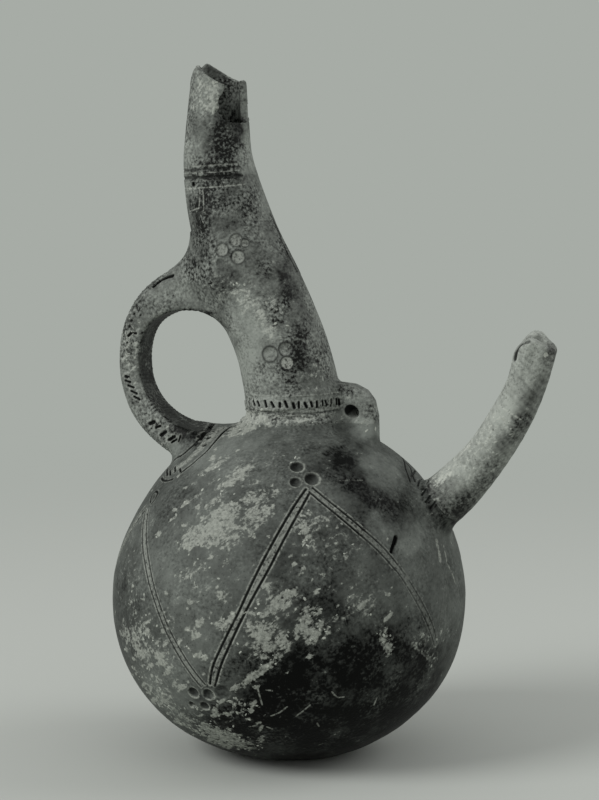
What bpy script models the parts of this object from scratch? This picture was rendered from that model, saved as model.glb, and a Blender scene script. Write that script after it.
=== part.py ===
# Hand-built spouted jug in slipped and burnished earthenware.
# The potter's members are separate solids, luted to each other along thin seams:
# a round belly in two halves, a leaning neck with a cut-away beak, a strap handle
# whose tenon goes through the shoulder, a side spout, a string lug and their fillets.
# Units are metres, +Z is up, +X points to the side spout, the foot's centre is the origin.

import math

import bmesh
import bpy
from mathutils import Euler, Matrix, Vector

MM = 0.001
SEAM = 0.3 * MM  # clearance left between neighbouring members
OVERRUN = 8.0 * MM  # how far a rough end runs on before it is trimmed
ROLL_STEPS = 32  # places round a ring-shaped roll of clay
ROLL_SIDES = 10

# Belly
BELLY_RADIUS = 97.6 * MM
BELLY_WIDEST_HEIGHT = 86.0 * MM
SHOULDER_RISE = 100.6 * MM
FOOT_RADIUS = 27.0 * MM
BOWL_FULLNESS = 2.12  # 2 is an ellipse, more is squarer
BELLY_WALL = 5.5 * MM
FOOT_THICKNESS = 8.0 * MM
SCARF_HEIGHT = 7.0 * MM
BELLY_STEPS = 48
BELLY_RINGS = 16  # rings between the widest line and the top

# Neck
NECK_FOOT_RADIUS = 26.2 * MM
NECK_OFFSET = 3.8 * MM
NECK_LEAN = 45.5 * MM
NECK_BEND_RISE = 150.0 * MM
NECK_RISE = 133.0 * MM
NECK_WALL = 5.0 * MM
NECK_MID_RADIUS = 25.2 * MM
NECK_UPPER_RADIUS = 22.2 * MM
NECK_TOP_RADIUS = 18.7 * MM
NECK_SIDES = 28

# Beak mouth
BEAK_RISE = 63.0 * MM
BEAK_RETURN = 1.6 * MM
BEAK_TIP_RADIUS = 14.8 * MM
BEAK_WALL = 3.8 * MM
BEAK_FALL = math.radians(29.0)
BEAK_SIDE_TILT = math.radians(9.0)
BEAK_CHIP_TILT = math.radians(-50.0)
BEAK_CUT_RISE = 31.0 * MM
BEAK_CUT_DEPTH = 10.2 * MM
BEAK_CUT_TURN = math.radians(-15.0)

# Notched collar and foot roll of the neck
COLLAR_RISE = 6.5 * MM
COLLAR_HEIGHT = 7.2 * MM
COLLAR_THICKNESS = 1.5 * MM
COLLAR_NOTCHES = 36
NOTCH_WIDTH = 1.2 * MM
NOTCH_LENGTH = 3.6 * MM
NOTCH_DEPTH = 1.0 * MM
NOTCH_LEAN = math.radians(12.0)
NECK_ROLL_RADIUS = 3.0 * MM

# Strap handle
HANDLE_TOP_RISE = 74.5 * MM
HANDLE_REACH = 89.7 * MM
HANDLE_REACH_RISE = 33.0 * MM
HANDLE_ROOT_RADIUS = 56.0 * MM
HANDLE_ROOT_TURN = math.radians(187.0)
HANDLE_WIDTH = 22.0 * MM
HANDLE_THICKNESS = 15.8 * MM
HANDLE_TOP_FLARE = 9.6 * MM
HANDLE_ROOT_FLARE = 6.4 * MM
HANDLE_ROOT_FALL = math.radians(27.0)
TENON_RADIUS = 7.0 * MM
TENON_PROUD = 2.5 * MM
HANDLE_ROLL_RADIUS = 5.0 * MM
BAND_WIDTH = 9.5 * MM
BAND_HEIGHT = 2.0 * MM

# Side spout
SPOUT_ROOT_RADIUS = 82.8 * MM
SPOUT_LENGTH = 114.0 * MM
SPOUT_START_TILT = math.radians(51.0)
SPOUT_END_TILT = math.radians(12.0)
SPOUT_FOOT_RADIUS = 14.0 * MM
SPOUT_MID_RADIUS = 11.5 * MM
SPOUT_TIP_RADIUS = 9.9 * MM
SPOUT_BORE_RADIUS = 5.6 * MM
SPOUT_TIP_BORE_RADIUS = 4.6 * MM
SPOUT_TIP_SIDE_TILT = math.radians(8.0)
SPOUT_TIP_INNER_TILT = math.radians(-47.0)
SPOUT_TIP_OUTER_TILT = math.radians(35.0)
SPOUT_ROLL_RADIUS = 4.0 * MM
SPOUT_SIDES = 24

# String lug
LUG_REACH = 21.5 * MM
LUG_RISE = 24.5 * MM
LUG_THICKNESS = 11.0 * MM
LUG_ROUNDING = 3.0 * MM
LUG_HOLE_RADIUS = 3.9 * MM
LUG_HOLE_OUT = 7.4 * MM
LUG_HOLE_RISE = 8.4 * MM


def new_collection(name):
    group = bpy.data.collections.new(name)
    bpy.context.scene.collection.children.link(group)
    return group


def clay(name, colour, roughness):
    material = bpy.data.materials.new(name)
    material.use_nodes = True
    shader = material.node_tree.nodes["Principled BSDF"]
    shader.inputs["Base Color"].default_value = (*colour, 1.0)
    shader.inputs["Roughness"].default_value = roughness
    shader.inputs["Metallic"].default_value = 0.0
    material.diffuse_color = (*colour, 1.0)
    return material


def mesh_object(name, mesh, group):
    thing = bpy.data.objects.new(name, mesh)
    group.objects.link(thing)
    return thing


def smooth(mesh, limit=math.radians(32.0)):
    mesh.shade_smooth()
    mesh.set_sharp_from_angle(angle=limit)


def hide_cutter(thing):
    thing.hide_render = True
    thing.display_type = "WIRE"
    return thing


def boolean(thing, other, operation="DIFFERENCE"):
    step = thing.modifiers.new(f"{operation.lower()} {other.name}", "BOOLEAN")
    step.object = other
    step.operation = operation
    step.solver = "EXACT"


# Shapes that several members share

def smooth_step(t):
    t = min(max(t, 0.0), 1.0)
    return t * t * (3.0 - 2.0 * t)


def curve_through(stations, t):
    # Smooth value at t through (t, value) stations, flat at both ends.
    for (t0, a), (t1, b) in zip(stations, stations[1:]):
        if t <= t1:
            return a + (b - a) * smooth_step((t - t0) / (t1 - t0))
    return stations[-1][1]


def swept_tube(name, path, radii, sides, group, closed=False):
    # A tube along the path, made as a bevelled curve and turned into a mesh.
    curve = bpy.data.curves.new(name, "CURVE")
    curve.dimensions = "3D"
    spline = curve.splines.new("POLY")
    spline.points.add(len(path) - 1)
    for point, place, radius in zip(spline.points, path, radii):
        point.co = (*place, 1.0)
        point.radius = radius
    spline.use_cyclic_u = closed
    curve.bevel_depth = 1.0
    curve.bevel_resolution = sides // 2 - 2
    curve.use_fill_caps = True
    rod = bpy.data.objects.new(name + "_curve", curve)
    group.objects.link(rod)
    bpy.context.view_layer.update()
    mesh = bpy.data.meshes.new_from_object(rod.evaluated_get(bpy.context.evaluated_depsgraph_get()))
    mesh.name = name
    shape = bmesh.new()
    shape.from_mesh(mesh)
    bmesh.ops.remove_doubles(shape, verts=shape.verts, dist=1e-6)
    bmesh.ops.recalc_face_normals(shape, faces=shape.faces)
    shape.to_mesh(mesh)
    shape.free()
    smooth(mesh)
    tube = mesh_object(name, mesh, group)
    tube.matrix_world = rod.matrix_world
    bpy.data.objects.remove(rod)
    return tube


def ring_turns():
    return [2.0 * math.pi * i / ROLL_STEPS for i in range(ROLL_STEPS)]


def clay_roll(name, path, radius, group):
    # A closed coil of clay laid along a ring of places.
    return swept_tube(name, path, [radius] * len(path), ROLL_SIDES, group, closed=True)


def turned(name, profile, group):
    # A profile of (radius, height) points turned about +Z.
    mesh = bpy.data.meshes.new(name)
    points = [(radius, 0.0, height) for radius, height in profile]
    edges = [(i, i + 1) for i in range(len(points) - 1)]
    mesh.from_pydata(points, edges, [])
    thing = mesh_object(name, mesh, group)
    screw = thing.modifiers.new("turn", "SCREW")
    screw.steps = BELLY_STEPS
    screw.render_steps = BELLY_STEPS
    screw.use_merge_vertices = True
    screw.merge_threshold = 0.00001
    screw.use_smooth_shade = True
    return thing


def box(name, low, high, group):
    shape = bmesh.new()
    bmesh.ops.create_cube(shape, size=1.0)
    size = [b - a for a, b in zip(low, high)]
    middle = [(a + b) / 2.0 for a, b in zip(low, high)]
    bmesh.ops.scale(shape, vec=size, verts=shape.verts)
    bmesh.ops.translate(shape, vec=middle, verts=shape.verts)
    mesh = bpy.data.meshes.new(name)
    shape.to_mesh(mesh)
    shape.free()
    return mesh_object(name, mesh, group)


def half_space(name, place, way, group):
    # A large block on one side of the plane through a place, square to a way.
    size = BELLY_RADIUS
    block = box(name, (-size, -size, 0.0), (size, size, size), group)
    block.location = place
    block.rotation_euler = way.to_track_quat("Z", "Y").to_euler()
    return hide_cutter(block)


def upward(side_tilt, tilt):
    # The upward direction, tilted sideways and then towards the spout.
    return Euler((side_tilt, tilt, 0.0)).to_matrix() @ Vector((0.0, 0.0, 1.0))


def rod(name, start, direction, length, radius, sides, group):
    shape = bmesh.new()
    bmesh.ops.create_cone(shape, cap_ends=True, segments=sides, radius1=radius, radius2=radius, depth=length)
    mesh = bpy.data.meshes.new(name)
    shape.to_mesh(mesh)
    shape.free()
    smooth(mesh)
    thing = mesh_object(name, mesh, group)
    way = Vector(direction).normalized()
    thing.location = Vector(start) + way * (length / 2.0)
    thing.rotation_euler = way.to_track_quat("Z", "Y").to_euler()
    return thing


# Belly: the outline is an ellipse above the widest line and a fuller curve below it

def bowl_depth(inset):
    cut = (1.0 - (FOOT_RADIUS / BELLY_RADIUS) ** BOWL_FULLNESS) ** (1.0 / BOWL_FULLNESS)
    return BELLY_WIDEST_HEIGHT / cut - inset


def belly_point(angle, inset):
    # Point of the outline at an angle above (+) or below (-) the widest line.
    radius = BELLY_RADIUS - inset
    if angle >= 0.0:
        return radius * math.cos(angle), BELLY_WIDEST_HEIGHT + (SHOULDER_RISE - inset) * math.sin(angle)
    power = 2.0 / BOWL_FULLNESS
    out = radius * math.cos(angle) ** power
    down = bowl_depth(inset) * math.sin(-angle) ** power
    return out, BELLY_WIDEST_HEIGHT - down


def belly_angle_at(height, inset):
    low, high = -math.pi / 2.0, math.pi / 2.0
    for _ in range(60):
        middle = (low + high) / 2.0
        if belly_point(middle, inset)[1] < height:
            low = middle
        else:
            high = middle
    return low


def belly_outline(start, end, inset, count):
    return [belly_point(start + (end - start) * i / count, inset) for i in range(count + 1)]


def shoulder_height(radius, grow=0.0):
    share = radius / (BELLY_RADIUS + grow)
    return BELLY_WIDEST_HEIGHT + (SHOULDER_RISE + grow) * math.sqrt(1.0 - share * share)


def shoulder_normal(place):
    out = Vector((place.x, place.y, 0.0)) / BELLY_RADIUS ** 2
    rise = (place.z - BELLY_WIDEST_HEIGHT) / SHOULDER_RISE ** 2
    return Vector((out.x, out.y, rise)).normalized()


def onto_shoulder(place, way, grow=0.0):
    # Where the line from a place along a way first meets the shoulder, from outside.
    scale = Vector((1.0 / (BELLY_RADIUS + grow), 1.0 / (BELLY_RADIUS + grow), 1.0 / (SHOULDER_RISE + grow)))
    start = (place - Vector((0.0, 0.0, BELLY_WIDEST_HEIGHT))) * scale
    run = way * scale
    a = run.dot(run)
    b = 2.0 * start.dot(run)
    c = start.dot(start) - 1.0
    root = math.sqrt(max(b * b - 4.0 * a * c, 0.0))
    return place + way * ((-b - root) / (2.0 * a))


def make_bowl(group):
    low_seam = BELLY_WIDEST_HEIGHT - SCARF_HEIGHT / 2.0
    high_seam = BELLY_WIDEST_HEIGHT + SCARF_HEIGHT / 2.0
    inner_foot = belly_angle_at(FOOT_THICKNESS, BELLY_WALL)
    inner_rim = belly_angle_at(high_seam, BELLY_WALL)
    outer_rim = belly_angle_at(low_seam, 0.0)
    foot = belly_angle_at(0.0, 0.0)
    inside = belly_outline(inner_foot, inner_rim, BELLY_WALL, BELLY_RINGS * 2 // 3)
    outside = belly_outline(outer_rim, foot, 0.0, BELLY_RINGS * 3 // 4)
    outside[-1] = (outside[-1][0], 0.0)
    return turned("lower_bowl", [(0.0, FOOT_THICKNESS)] + inside + outside + [(0.0, 0.0)], group)


def make_shoulder(group):
    low_seam = BELLY_WIDEST_HEIGHT - SCARF_HEIGHT / 2.0
    high_seam = BELLY_WIDEST_HEIGHT + SCARF_HEIGHT / 2.0
    lift = SEAM * math.hypot(SCARF_HEIGHT, BELLY_WALL) / BELLY_WALL
    inner_rim = belly_angle_at(high_seam + lift, BELLY_WALL)
    outer_rim = belly_angle_at(low_seam + lift, 0.0)
    top = math.pi / 2.0
    outside = belly_outline(top, outer_rim, 0.0, BELLY_RINGS)
    inside = belly_outline(inner_rim, top, BELLY_WALL, BELLY_RINGS * 4 // 5)
    outside[0] = (0.0, outside[0][1])
    inside[-1] = (0.0, inside[-1][1])
    return turned("shoulder_dome", outside + inside, group)


def make_belly_solid(group):
    # The whole belly grown by one seam, to seat every member that stands on it.
    foot = belly_angle_at(0.0, 0.0)
    outline = belly_outline(math.pi / 2.0, foot, -SEAM, 2 * BELLY_RINGS)
    outline[0] = (0.0, outline[0][1])
    outline.append((0.0, outline[-1][1]))
    return hide_cutter(turned("belly_solid", outline, group))


# Neck: a tube on a centre line that leans back from the spout

def neck_foot_height():
    return shoulder_height(NECK_FOOT_RADIUS)


def neck_centre(rise):
    lean = NECK_LEAN * smooth_step(rise / NECK_BEND_RISE)
    back = BEAK_RETURN * smooth_step((rise - NECK_RISE) / BEAK_RISE)
    return Vector((NECK_OFFSET - lean + back, 0.0, neck_foot_height() + rise))


def neck_way(rise):
    step = 1.0 * MM
    return (neck_centre(rise + step) - neck_centre(rise - step)).normalized()


def tapered_neck_radius(rise):
    stations = [
        (0.0, NECK_FOOT_RADIUS),
        (0.58 * NECK_RISE, NECK_MID_RADIUS),
        (0.85 * NECK_RISE, NECK_UPPER_RADIUS),
        (1.04 * NECK_RISE, NECK_TOP_RADIUS),
        (NECK_RISE + BEAK_RISE, BEAK_TIP_RADIUS),
    ]
    if rise <= 0.0:
        return NECK_FOOT_RADIUS
    for (t0, a), (t1, b) in zip(stations, stations[1:]):
        if rise <= t1:
            return a + (b - a) * (rise - t0) / (t1 - t0)
    return BEAK_TIP_RADIUS


def neck_radius(rise):
    # The straight tapers, eased into each other.
    reach = NECK_RISE / 9.5
    samples = [tapered_neck_radius(rise + reach * step) for step in (-1.0, -0.5, 0.0, 0.5, 1.0)]
    weights = (1.0, 2.0, 3.0, 2.0, 1.0)
    return sum(s * w for s, w in zip(samples, weights)) / sum(weights)


def neck_tube(name, start, end, grow, count, group):
    rises = [start + (end - start) * i / count for i in range(count + 1)]
    path = [neck_centre(rise) for rise in rises]
    radii = [neck_radius(rise) + grow for rise in rises]
    return swept_tube(name, path, radii, NECK_SIDES, group)


def make_neck(group, cutters, belly_solid):
    sunk = -0.7 * NECK_FOOT_RADIUS
    neck = neck_tube("neck_tube", sunk, NECK_RISE + OVERRUN, 0.0, 17, group)
    bore = neck_tube("neck_bore", sunk - OVERRUN, NECK_RISE + 2.0 * OVERRUN, -NECK_WALL, 17, cutters)
    way = neck_way(NECK_RISE)
    above = half_space("above_neck", neck_centre(NECK_RISE) - way * (SEAM / 2.0), way, cutters)
    boolean(neck, belly_solid)
    boolean(neck, hide_cutter(bore))
    boolean(neck, above)
    return neck


def make_neck_solid(cutters):
    return hide_cutter(neck_tube("neck_solid", -0.8 * NECK_FOOT_RADIUS, NECK_RISE, SEAM, 21, cutters))


def make_beak(group, cutters):
    top = NECK_RISE + BEAK_RISE + OVERRUN
    beak = neck_tube("beak_mouth", NECK_RISE - OVERRUN, top, 0.0, 13, group)
    bore = neck_tube("beak_bore", NECK_RISE - 2.0 * OVERRUN, top + OVERRUN, -BEAK_WALL, 15, cutters)
    way = neck_way(NECK_RISE)
    below = half_space("below_beak", neck_centre(NECK_RISE) + way * (SEAM / 2.0), -way, cutters)
    boolean(beak, hide_cutter(bore))
    boolean(beak, below)

    # Sloping rim: high at the back, where the corner is lost, falling towards the spout side
    middle = neck_centre(NECK_RISE + BEAK_RISE)
    back = middle - Vector((0.7 * BEAK_TIP_RADIUS, 0.0, 0.0))
    boolean(beak, half_space("rim_cut", back, upward(BEAK_SIDE_TILT, BEAK_FALL), cutters))
    boolean(beak, half_space("lost_corner", back, upward(0.0, BEAK_CHIP_TILT), cutters))

    # Cut-away side: a slice through the wall, open upwards
    size = BELLY_RADIUS
    slice_box = box("cut_away", (BEAK_CUT_DEPTH, -size, 0.0), (size, size, size), cutters)
    slice_box.location = neck_centre(NECK_RISE + BEAK_CUT_RISE)
    slice_box.rotation_euler = (0.0, 0.0, BEAK_CUT_TURN)
    boolean(beak, hide_cutter(slice_box))
    return beak


def make_collar(group, cutters, neck_solid, lug_seat):
    low = COLLAR_RISE
    high = COLLAR_RISE + COLLAR_HEIGHT
    grow = SEAM + COLLAR_THICKNESS
    collar = neck_tube("neck_collar", low, high, grow, 3, group)
    boolean(collar, neck_solid)
    boolean(collar, lug_seat)

    # One notch is a small leaning box; a ring of them is the cutter
    middle = (low + high) / 2.0
    shape = bmesh.new()
    outer = neck_radius(middle) + grow
    for i in range(COLLAR_NOTCHES):
        turn = 2.0 * math.pi * (i + 0.5) / COLLAR_NOTCHES
        made = bmesh.ops.create_cube(shape, size=1.0)
        place = Matrix.Translation(neck_centre(middle)) @ Matrix.Rotation(turn, 4, "Z")
        place = place @ Matrix.Translation((outer, 0.0, 0.0)) @ Matrix.Rotation(NOTCH_LEAN, 4, "X")
        size = Matrix.Diagonal((2.0 * NOTCH_DEPTH, NOTCH_WIDTH, NOTCH_LENGTH, 1.0))
        bmesh.ops.transform(shape, matrix=place @ size, verts=made["verts"])
    mesh = bpy.data.meshes.new("collar_notches")
    shape.to_mesh(mesh)
    shape.free()
    boolean(collar, hide_cutter(mesh_object("collar_notches", mesh, cutters)))
    return collar


def make_neck_roll(group, neck_solid, belly_solid, lug_seat):
    path = []
    for turn in ring_turns():
        out = NECK_FOOT_RADIUS + 0.25 * NECK_ROLL_RADIUS
        place = Vector((NECK_OFFSET + out * math.cos(turn), out * math.sin(turn), 0.0))
        place.z = shoulder_height(math.hypot(place.x, place.y))
        path.append(place)
    roll = clay_roll("neck_foot_roll", path, NECK_ROLL_RADIUS, group)
    boolean(roll, neck_solid)
    boolean(roll, belly_solid)
    boolean(roll, lug_seat)
    return roll


# Handle: a strap that leaves the neck, reaches back and comes down on the shoulder

def handle_root():
    out = HANDLE_ROOT_RADIUS
    return Vector((
        out * math.cos(HANDLE_ROOT_TURN),
        out * math.sin(HANDLE_ROOT_TURN),
        shoulder_height(HANDLE_ROOT_RADIUS),
    ))


def bezier(points, t):
    a, b, c, d = points
    s = 1.0 - t
    return a * s ** 3 + b * (3.0 * s * s * t) + c * (3.0 * s * t * t) + d * t ** 3


def handle_path():
    foot = handle_root()
    joint = neck_centre(HANDLE_TOP_RISE)
    joint.x -= 0.72 * neck_radius(HANDLE_TOP_RISE)
    reach = Vector((-HANDLE_REACH, 0.35 * foot.y, neck_foot_height() + HANDLE_REACH_RISE))
    span = joint.x - reach.x
    drop = joint.z - reach.z
    upper = (
        joint,
        joint + Vector((-0.76 * span, 0.0, -0.04 * drop)),
        reach + Vector((0.0, 0.0, 0.55 * drop)),
        reach,
    )
    fall = reach.z - foot.z
    landing = Vector((foot.x, foot.y, 0.0)).normalized() * math.cos(HANDLE_ROOT_FALL)
    landing.z = math.sin(HANDLE_ROOT_FALL)
    lower = (
        reach,
        reach - Vector((0.0, 0.0, 0.50 * fall)),
        foot + landing * (0.46 * fall),
        foot,
    )
    path = [bezier(upper, i / 12.0) for i in range(13)]
    path += [bezier(lower, i / 12.0) for i in range(1, 13)]
    path.append(foot - landing * (2.0 * BELLY_WALL))
    return path


def handle_size(share):
    # Half width and half thickness along the strap, 0 at the neck and 1 at the shoulder.
    top = max(0.0, 1.0 - share / 0.34) ** 1.8
    root = max(0.0, (share - 0.56) / 0.44) ** 1.3
    width = HANDLE_WIDTH / 2.0 + 0.4 * HANDLE_TOP_FLARE * top + HANDLE_ROOT_FLARE * root ** 1.5
    thickness = HANDLE_THICKNESS / 2.0 + HANDLE_TOP_FLARE * top + HANDLE_ROOT_FLARE * root
    return width, thickness


def strap_section(half_width, half_thickness, sides):
    # Flat towards the neck, arched on the outer side, with round edges.
    points = []
    for i in range(sides):
        turn = 2.0 * math.pi * i / sides
        across = math.copysign(abs(math.cos(turn)) ** 0.72, math.cos(turn))
        through = math.copysign(abs(math.sin(turn)) ** 0.80, math.sin(turn))
        flat = 0.86 if through < 0.0 else 1.0
        points.append((across * half_width, through * half_thickness * flat))
    return points


def strap_mesh(name, grow):
    path = handle_path()
    sides = 20
    shape = bmesh.new()
    rings = []
    last = len(path) - 1
    for i, place in enumerate(path):
        ahead = (path[min(i + 1, last)] - path[max(i - 1, 0)]).normalized()
        across = Vector((0.0, 1.0, 0.0))
        across = (across - ahead * across.dot(ahead)).normalized()
        outward = across.cross(ahead).normalized()
        width, thickness = handle_size(min(i / (last - 1), 1.0))
        ring = []
        for u, v in strap_section(width + grow, thickness + grow, sides):
            ring.append(shape.verts.new(place + across * u + outward * v))
        rings.append(ring)
    for ring, following in zip(rings, rings[1:]):
        for k in range(sides):
            n = (k + 1) % sides
            shape.faces.new((ring[k], ring[n], following[n], following[k]))
    shape.faces.new(reversed(rings[0]))
    shape.faces.new(rings[-1])
    bmesh.ops.recalc_face_normals(shape, faces=shape.faces)
    mesh = bpy.data.meshes.new(name)
    shape.to_mesh(mesh)
    shape.free()
    smooth(mesh)
    return mesh


def make_handle(group, cutters, neck_solid, belly_solid):
    handle = mesh_object("strap_handle", strap_mesh("strap_handle", 0.0), group)
    boolean(handle, neck_solid)
    boolean(handle, belly_solid)
    foot = handle_root()
    normal = shoulder_normal(foot)
    length = BELLY_WALL + TENON_PROUD + 2.0 * TENON_RADIUS
    tenon = rod("tenon", foot + normal * (2.0 * TENON_RADIUS), -normal, length, TENON_RADIUS, 20, cutters)
    boolean(handle, hide_cutter(tenon), "UNION")
    return handle


def make_band(group, belly_solid, handle_solid):
    foot = handle_root()
    normal = shoulder_normal(foot)
    across = Vector((0.0, 1.0, 0.0))
    across = (across - normal * across.dot(normal)).normalized()
    along = normal.cross(across)
    width, thickness = handle_size(1.0)
    half = BAND_WIDTH / 2.0
    radius = (half * half + BAND_HEIGHT * BAND_HEIGHT) / (2.0 * BAND_HEIGHT)
    sink = radius - BAND_HEIGHT
    path = []
    for turn in ring_turns():
        u = (width + 0.8 * half) * math.cos(turn)
        v = (thickness + 0.8 * half) * math.sin(turn)
        place = onto_shoulder(foot + across * u + along * v + normal * BELLY_RADIUS, -normal)
        path.append(place - shoulder_normal(place) * sink)
    band = clay_roll("handle_root_band", path, radius, group)
    boolean(band, belly_solid)
    boolean(band, handle_solid)
    return band


def onto_neck(place, way):
    # Where the line from a place along a way meets the neck's outside.
    near, far = 0.0, 2.4 * NECK_FOOT_RADIUS
    for _ in range(40):
        middle = (near + far) / 2.0
        at = place + way * middle
        rise = at.z - neck_foot_height()
        centre = neck_centre(rise)
        if math.hypot(at.x - centre.x, at.y) > neck_radius(rise):
            near = middle
        else:
            far = middle
    return place + way * near


def make_handle_roll(group, neck_solid, handle_solid):
    start, following = handle_path()[:2]
    way = (start - following).normalized()
    across = Vector((0.0, 1.0, 0.0))
    along = way.cross(across).normalized()
    width, thickness = handle_size(0.12)
    outside = start - way * (1.2 * NECK_FOOT_RADIUS)
    path = []
    for turn in ring_turns():
        u = (width + 0.1 * HANDLE_ROLL_RADIUS) * math.cos(turn)
        v = (thickness + 0.1 * HANDLE_ROLL_RADIUS) * math.sin(turn)
        path.append(onto_neck(outside + across * u + along * v, way))
    roll = clay_roll("handle_top_roll", path, HANDLE_ROLL_RADIUS, group)
    boolean(roll, neck_solid)
    boolean(roll, handle_solid)
    return roll


# Side spout: a long tube that rises in a gentle curve

def spout_path(start, end, count):
    # Points at distances from start to end along the spout's centre line.
    root = Vector((SPOUT_ROOT_RADIUS, 0.0, shoulder_height(SPOUT_ROOT_RADIUS)))
    turn = SPOUT_END_TILT - SPOUT_START_TILT

    def place(distance):
        inside = min(distance, 0.0)
        run = max(distance, 0.0)
        out = root.x + inside * math.sin(SPOUT_START_TILT)
        up = root.z + inside * math.cos(SPOUT_START_TILT)
        bend = turn / SPOUT_LENGTH
        tilt = SPOUT_START_TILT + bend * run
        out += (math.cos(SPOUT_START_TILT) - math.cos(tilt)) / bend
        up += (math.sin(tilt) - math.sin(SPOUT_START_TILT)) / bend
        return Vector((out, 0.0, up))

    distances = [start + (end - start) * i / count for i in range(count + 1)]
    return distances, [place(distance) for distance in distances]


def spout_radius(distance, root, middle, tip):
    stations = [(0.0, root), (0.45, middle), (1.0, tip)]
    return curve_through(stations, min(max(distance / SPOUT_LENGTH, 0.0), 1.0))


def spout_tube(name, start, end, grow, count, group):
    distances, path = spout_path(start, end, count)
    radii = [spout_radius(d, SPOUT_FOOT_RADIUS, SPOUT_MID_RADIUS, SPOUT_TIP_RADIUS) + grow for d in distances]
    return swept_tube(name, path, radii, SPOUT_SIDES, group)


def make_spout(group, cutters, belly_solid, spout_bore):
    spout = spout_tube("side_spout", -SPOUT_FOOT_RADIUS, SPOUT_LENGTH + SPOUT_TIP_RADIUS, 0.0, 17, group)
    boolean(spout, belly_solid)
    boolean(spout, spout_bore)

    # The tip is worn to a ridge: one face towards the neck, one away from it
    tip = spout_path(0.0, SPOUT_LENGTH, 1)[1][-1]
    ridge = tip - Vector((0.27 * SPOUT_TIP_RADIUS, 0.0, 0.0))
    for name, tilt in (("tip_inner_cut", SPOUT_TIP_INNER_TILT), ("tip_outer_cut", SPOUT_TIP_OUTER_TILT)):
        boolean(spout, half_space(name, ridge, upward(SPOUT_TIP_SIDE_TILT, tilt), cutters))
    return spout


def make_spout_bore(cutters):
    distances, path = spout_path(-2.0 * SPOUT_FOOT_RADIUS, SPOUT_LENGTH + 2.0 * SPOUT_TIP_RADIUS, 20)
    radii = [spout_radius(d, SPOUT_BORE_RADIUS, SPOUT_BORE_RADIUS, SPOUT_TIP_BORE_RADIUS) for d in distances]
    return hide_cutter(swept_tube("spout_bore", path, radii, 16, cutters))


def make_spout_roll(group, cutters, belly_solid):
    solid = spout_tube("spout_solid", -1.2 * SPOUT_FOOT_RADIUS, 3.0 * SPOUT_FOOT_RADIUS, SEAM, 9, cutters)
    root = spout_path(0.0, SPOUT_LENGTH, 1)[1][0]
    way = Vector((math.sin(SPOUT_START_TILT), 0.0, math.cos(SPOUT_START_TILT)))
    across = Vector((0.0, 1.0, 0.0))
    along = way.cross(across)
    out = SPOUT_FOOT_RADIUS + 0.3 * SPOUT_ROLL_RADIUS
    outside = root + way * BELLY_RADIUS
    path = []
    for turn in ring_turns():
        start = outside + across * (out * math.cos(turn)) + along * (out * math.sin(turn))
        path.append(onto_shoulder(start, -way))
    roll = clay_roll("spout_root_roll", path, SPOUT_ROLL_RADIUS, group)
    boolean(roll, hide_cutter(solid))
    boolean(roll, belly_solid)
    return roll


# String lug: a pierced ear between neck and shoulder, on the spout's side

def lug_corner():
    # Where the neck's outside meets the shoulder on the spout's side.
    x = NECK_OFFSET + NECK_FOOT_RADIUS
    return Vector((x, 0.0, shoulder_height(x)))


def make_lug(group, cutters, neck_solid, belly_solid):
    corner = lug_corner()
    curve = bpy.data.curves.new("string_lug", "CURVE")
    curve.dimensions = "2D"
    curve.fill_mode = "BOTH"
    curve.extrude = LUG_THICKNESS / 2.0 - LUG_ROUNDING
    curve.bevel_depth = LUG_ROUNDING
    curve.offset = -LUG_ROUNDING
    curve.bevel_resolution = 2
    inside = 10.0 * MM
    outline = [
        (-inside, LUG_RISE),
        (0.08 * LUG_REACH, LUG_RISE),
        (0.38 * LUG_REACH, 0.97 * LUG_RISE),
        (0.70 * LUG_REACH, 0.84 * LUG_RISE),
        (0.90 * LUG_REACH, 0.62 * LUG_RISE),
        (0.99 * LUG_REACH, 0.28 * LUG_RISE),
        (LUG_REACH, -0.5 * LUG_RISE),
        (0.95 * LUG_REACH, -LUG_RISE),
        (-inside, -LUG_RISE),
    ]
    spline = curve.splines.new("POLY")
    spline.points.add(len(outline) - 1)
    for point, (out, up) in zip(spline.points, outline):
        point.co = (out, up, 0.0, 1.0)
    spline.use_cyclic_u = True
    flat = bpy.data.objects.new("lug_curve", curve)
    group.objects.link(flat)
    bpy.context.view_layer.update()
    mesh = bpy.data.meshes.new_from_object(flat.evaluated_get(bpy.context.evaluated_depsgraph_get()))
    mesh.name = "string_lug"
    bpy.data.objects.remove(flat)
    shape = bmesh.new()
    shape.from_mesh(mesh)
    bmesh.ops.remove_doubles(shape, verts=shape.verts, dist=1e-6)
    bmesh.ops.recalc_face_normals(shape, faces=shape.faces)
    shape.to_mesh(mesh)
    shape.free()
    smooth(mesh)
    lug = mesh_object("string_lug", mesh, group)
    lug.location = corner
    lug.rotation_euler = (math.radians(90.0), 0.0, 0.0)
    boolean(lug, neck_solid)
    boolean(lug, belly_solid)
    hole_middle = corner + Vector((LUG_HOLE_OUT, LUG_THICKNESS, LUG_HOLE_RISE))
    hole = rod("lug_hole", hole_middle, (0.0, -1.0, 0.0), 2.0 * LUG_THICKNESS, LUG_HOLE_RADIUS, 20, cutters)
    boolean(lug, hide_cutter(hole))
    return lug


def make_lug_seat(cutters):
    # The collar and the foot roll stop at the lug's two sides.
    corner = lug_corner()
    side = LUG_THICKNESS / 2.0 + SEAM
    low = (NECK_OFFSET, -side, corner.z - 2.0 * LUG_RISE)
    high = (corner.x + LUG_REACH, side, corner.z + LUG_RISE)
    return hide_cutter(box("lug_seat", low, high, cutters))


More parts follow.
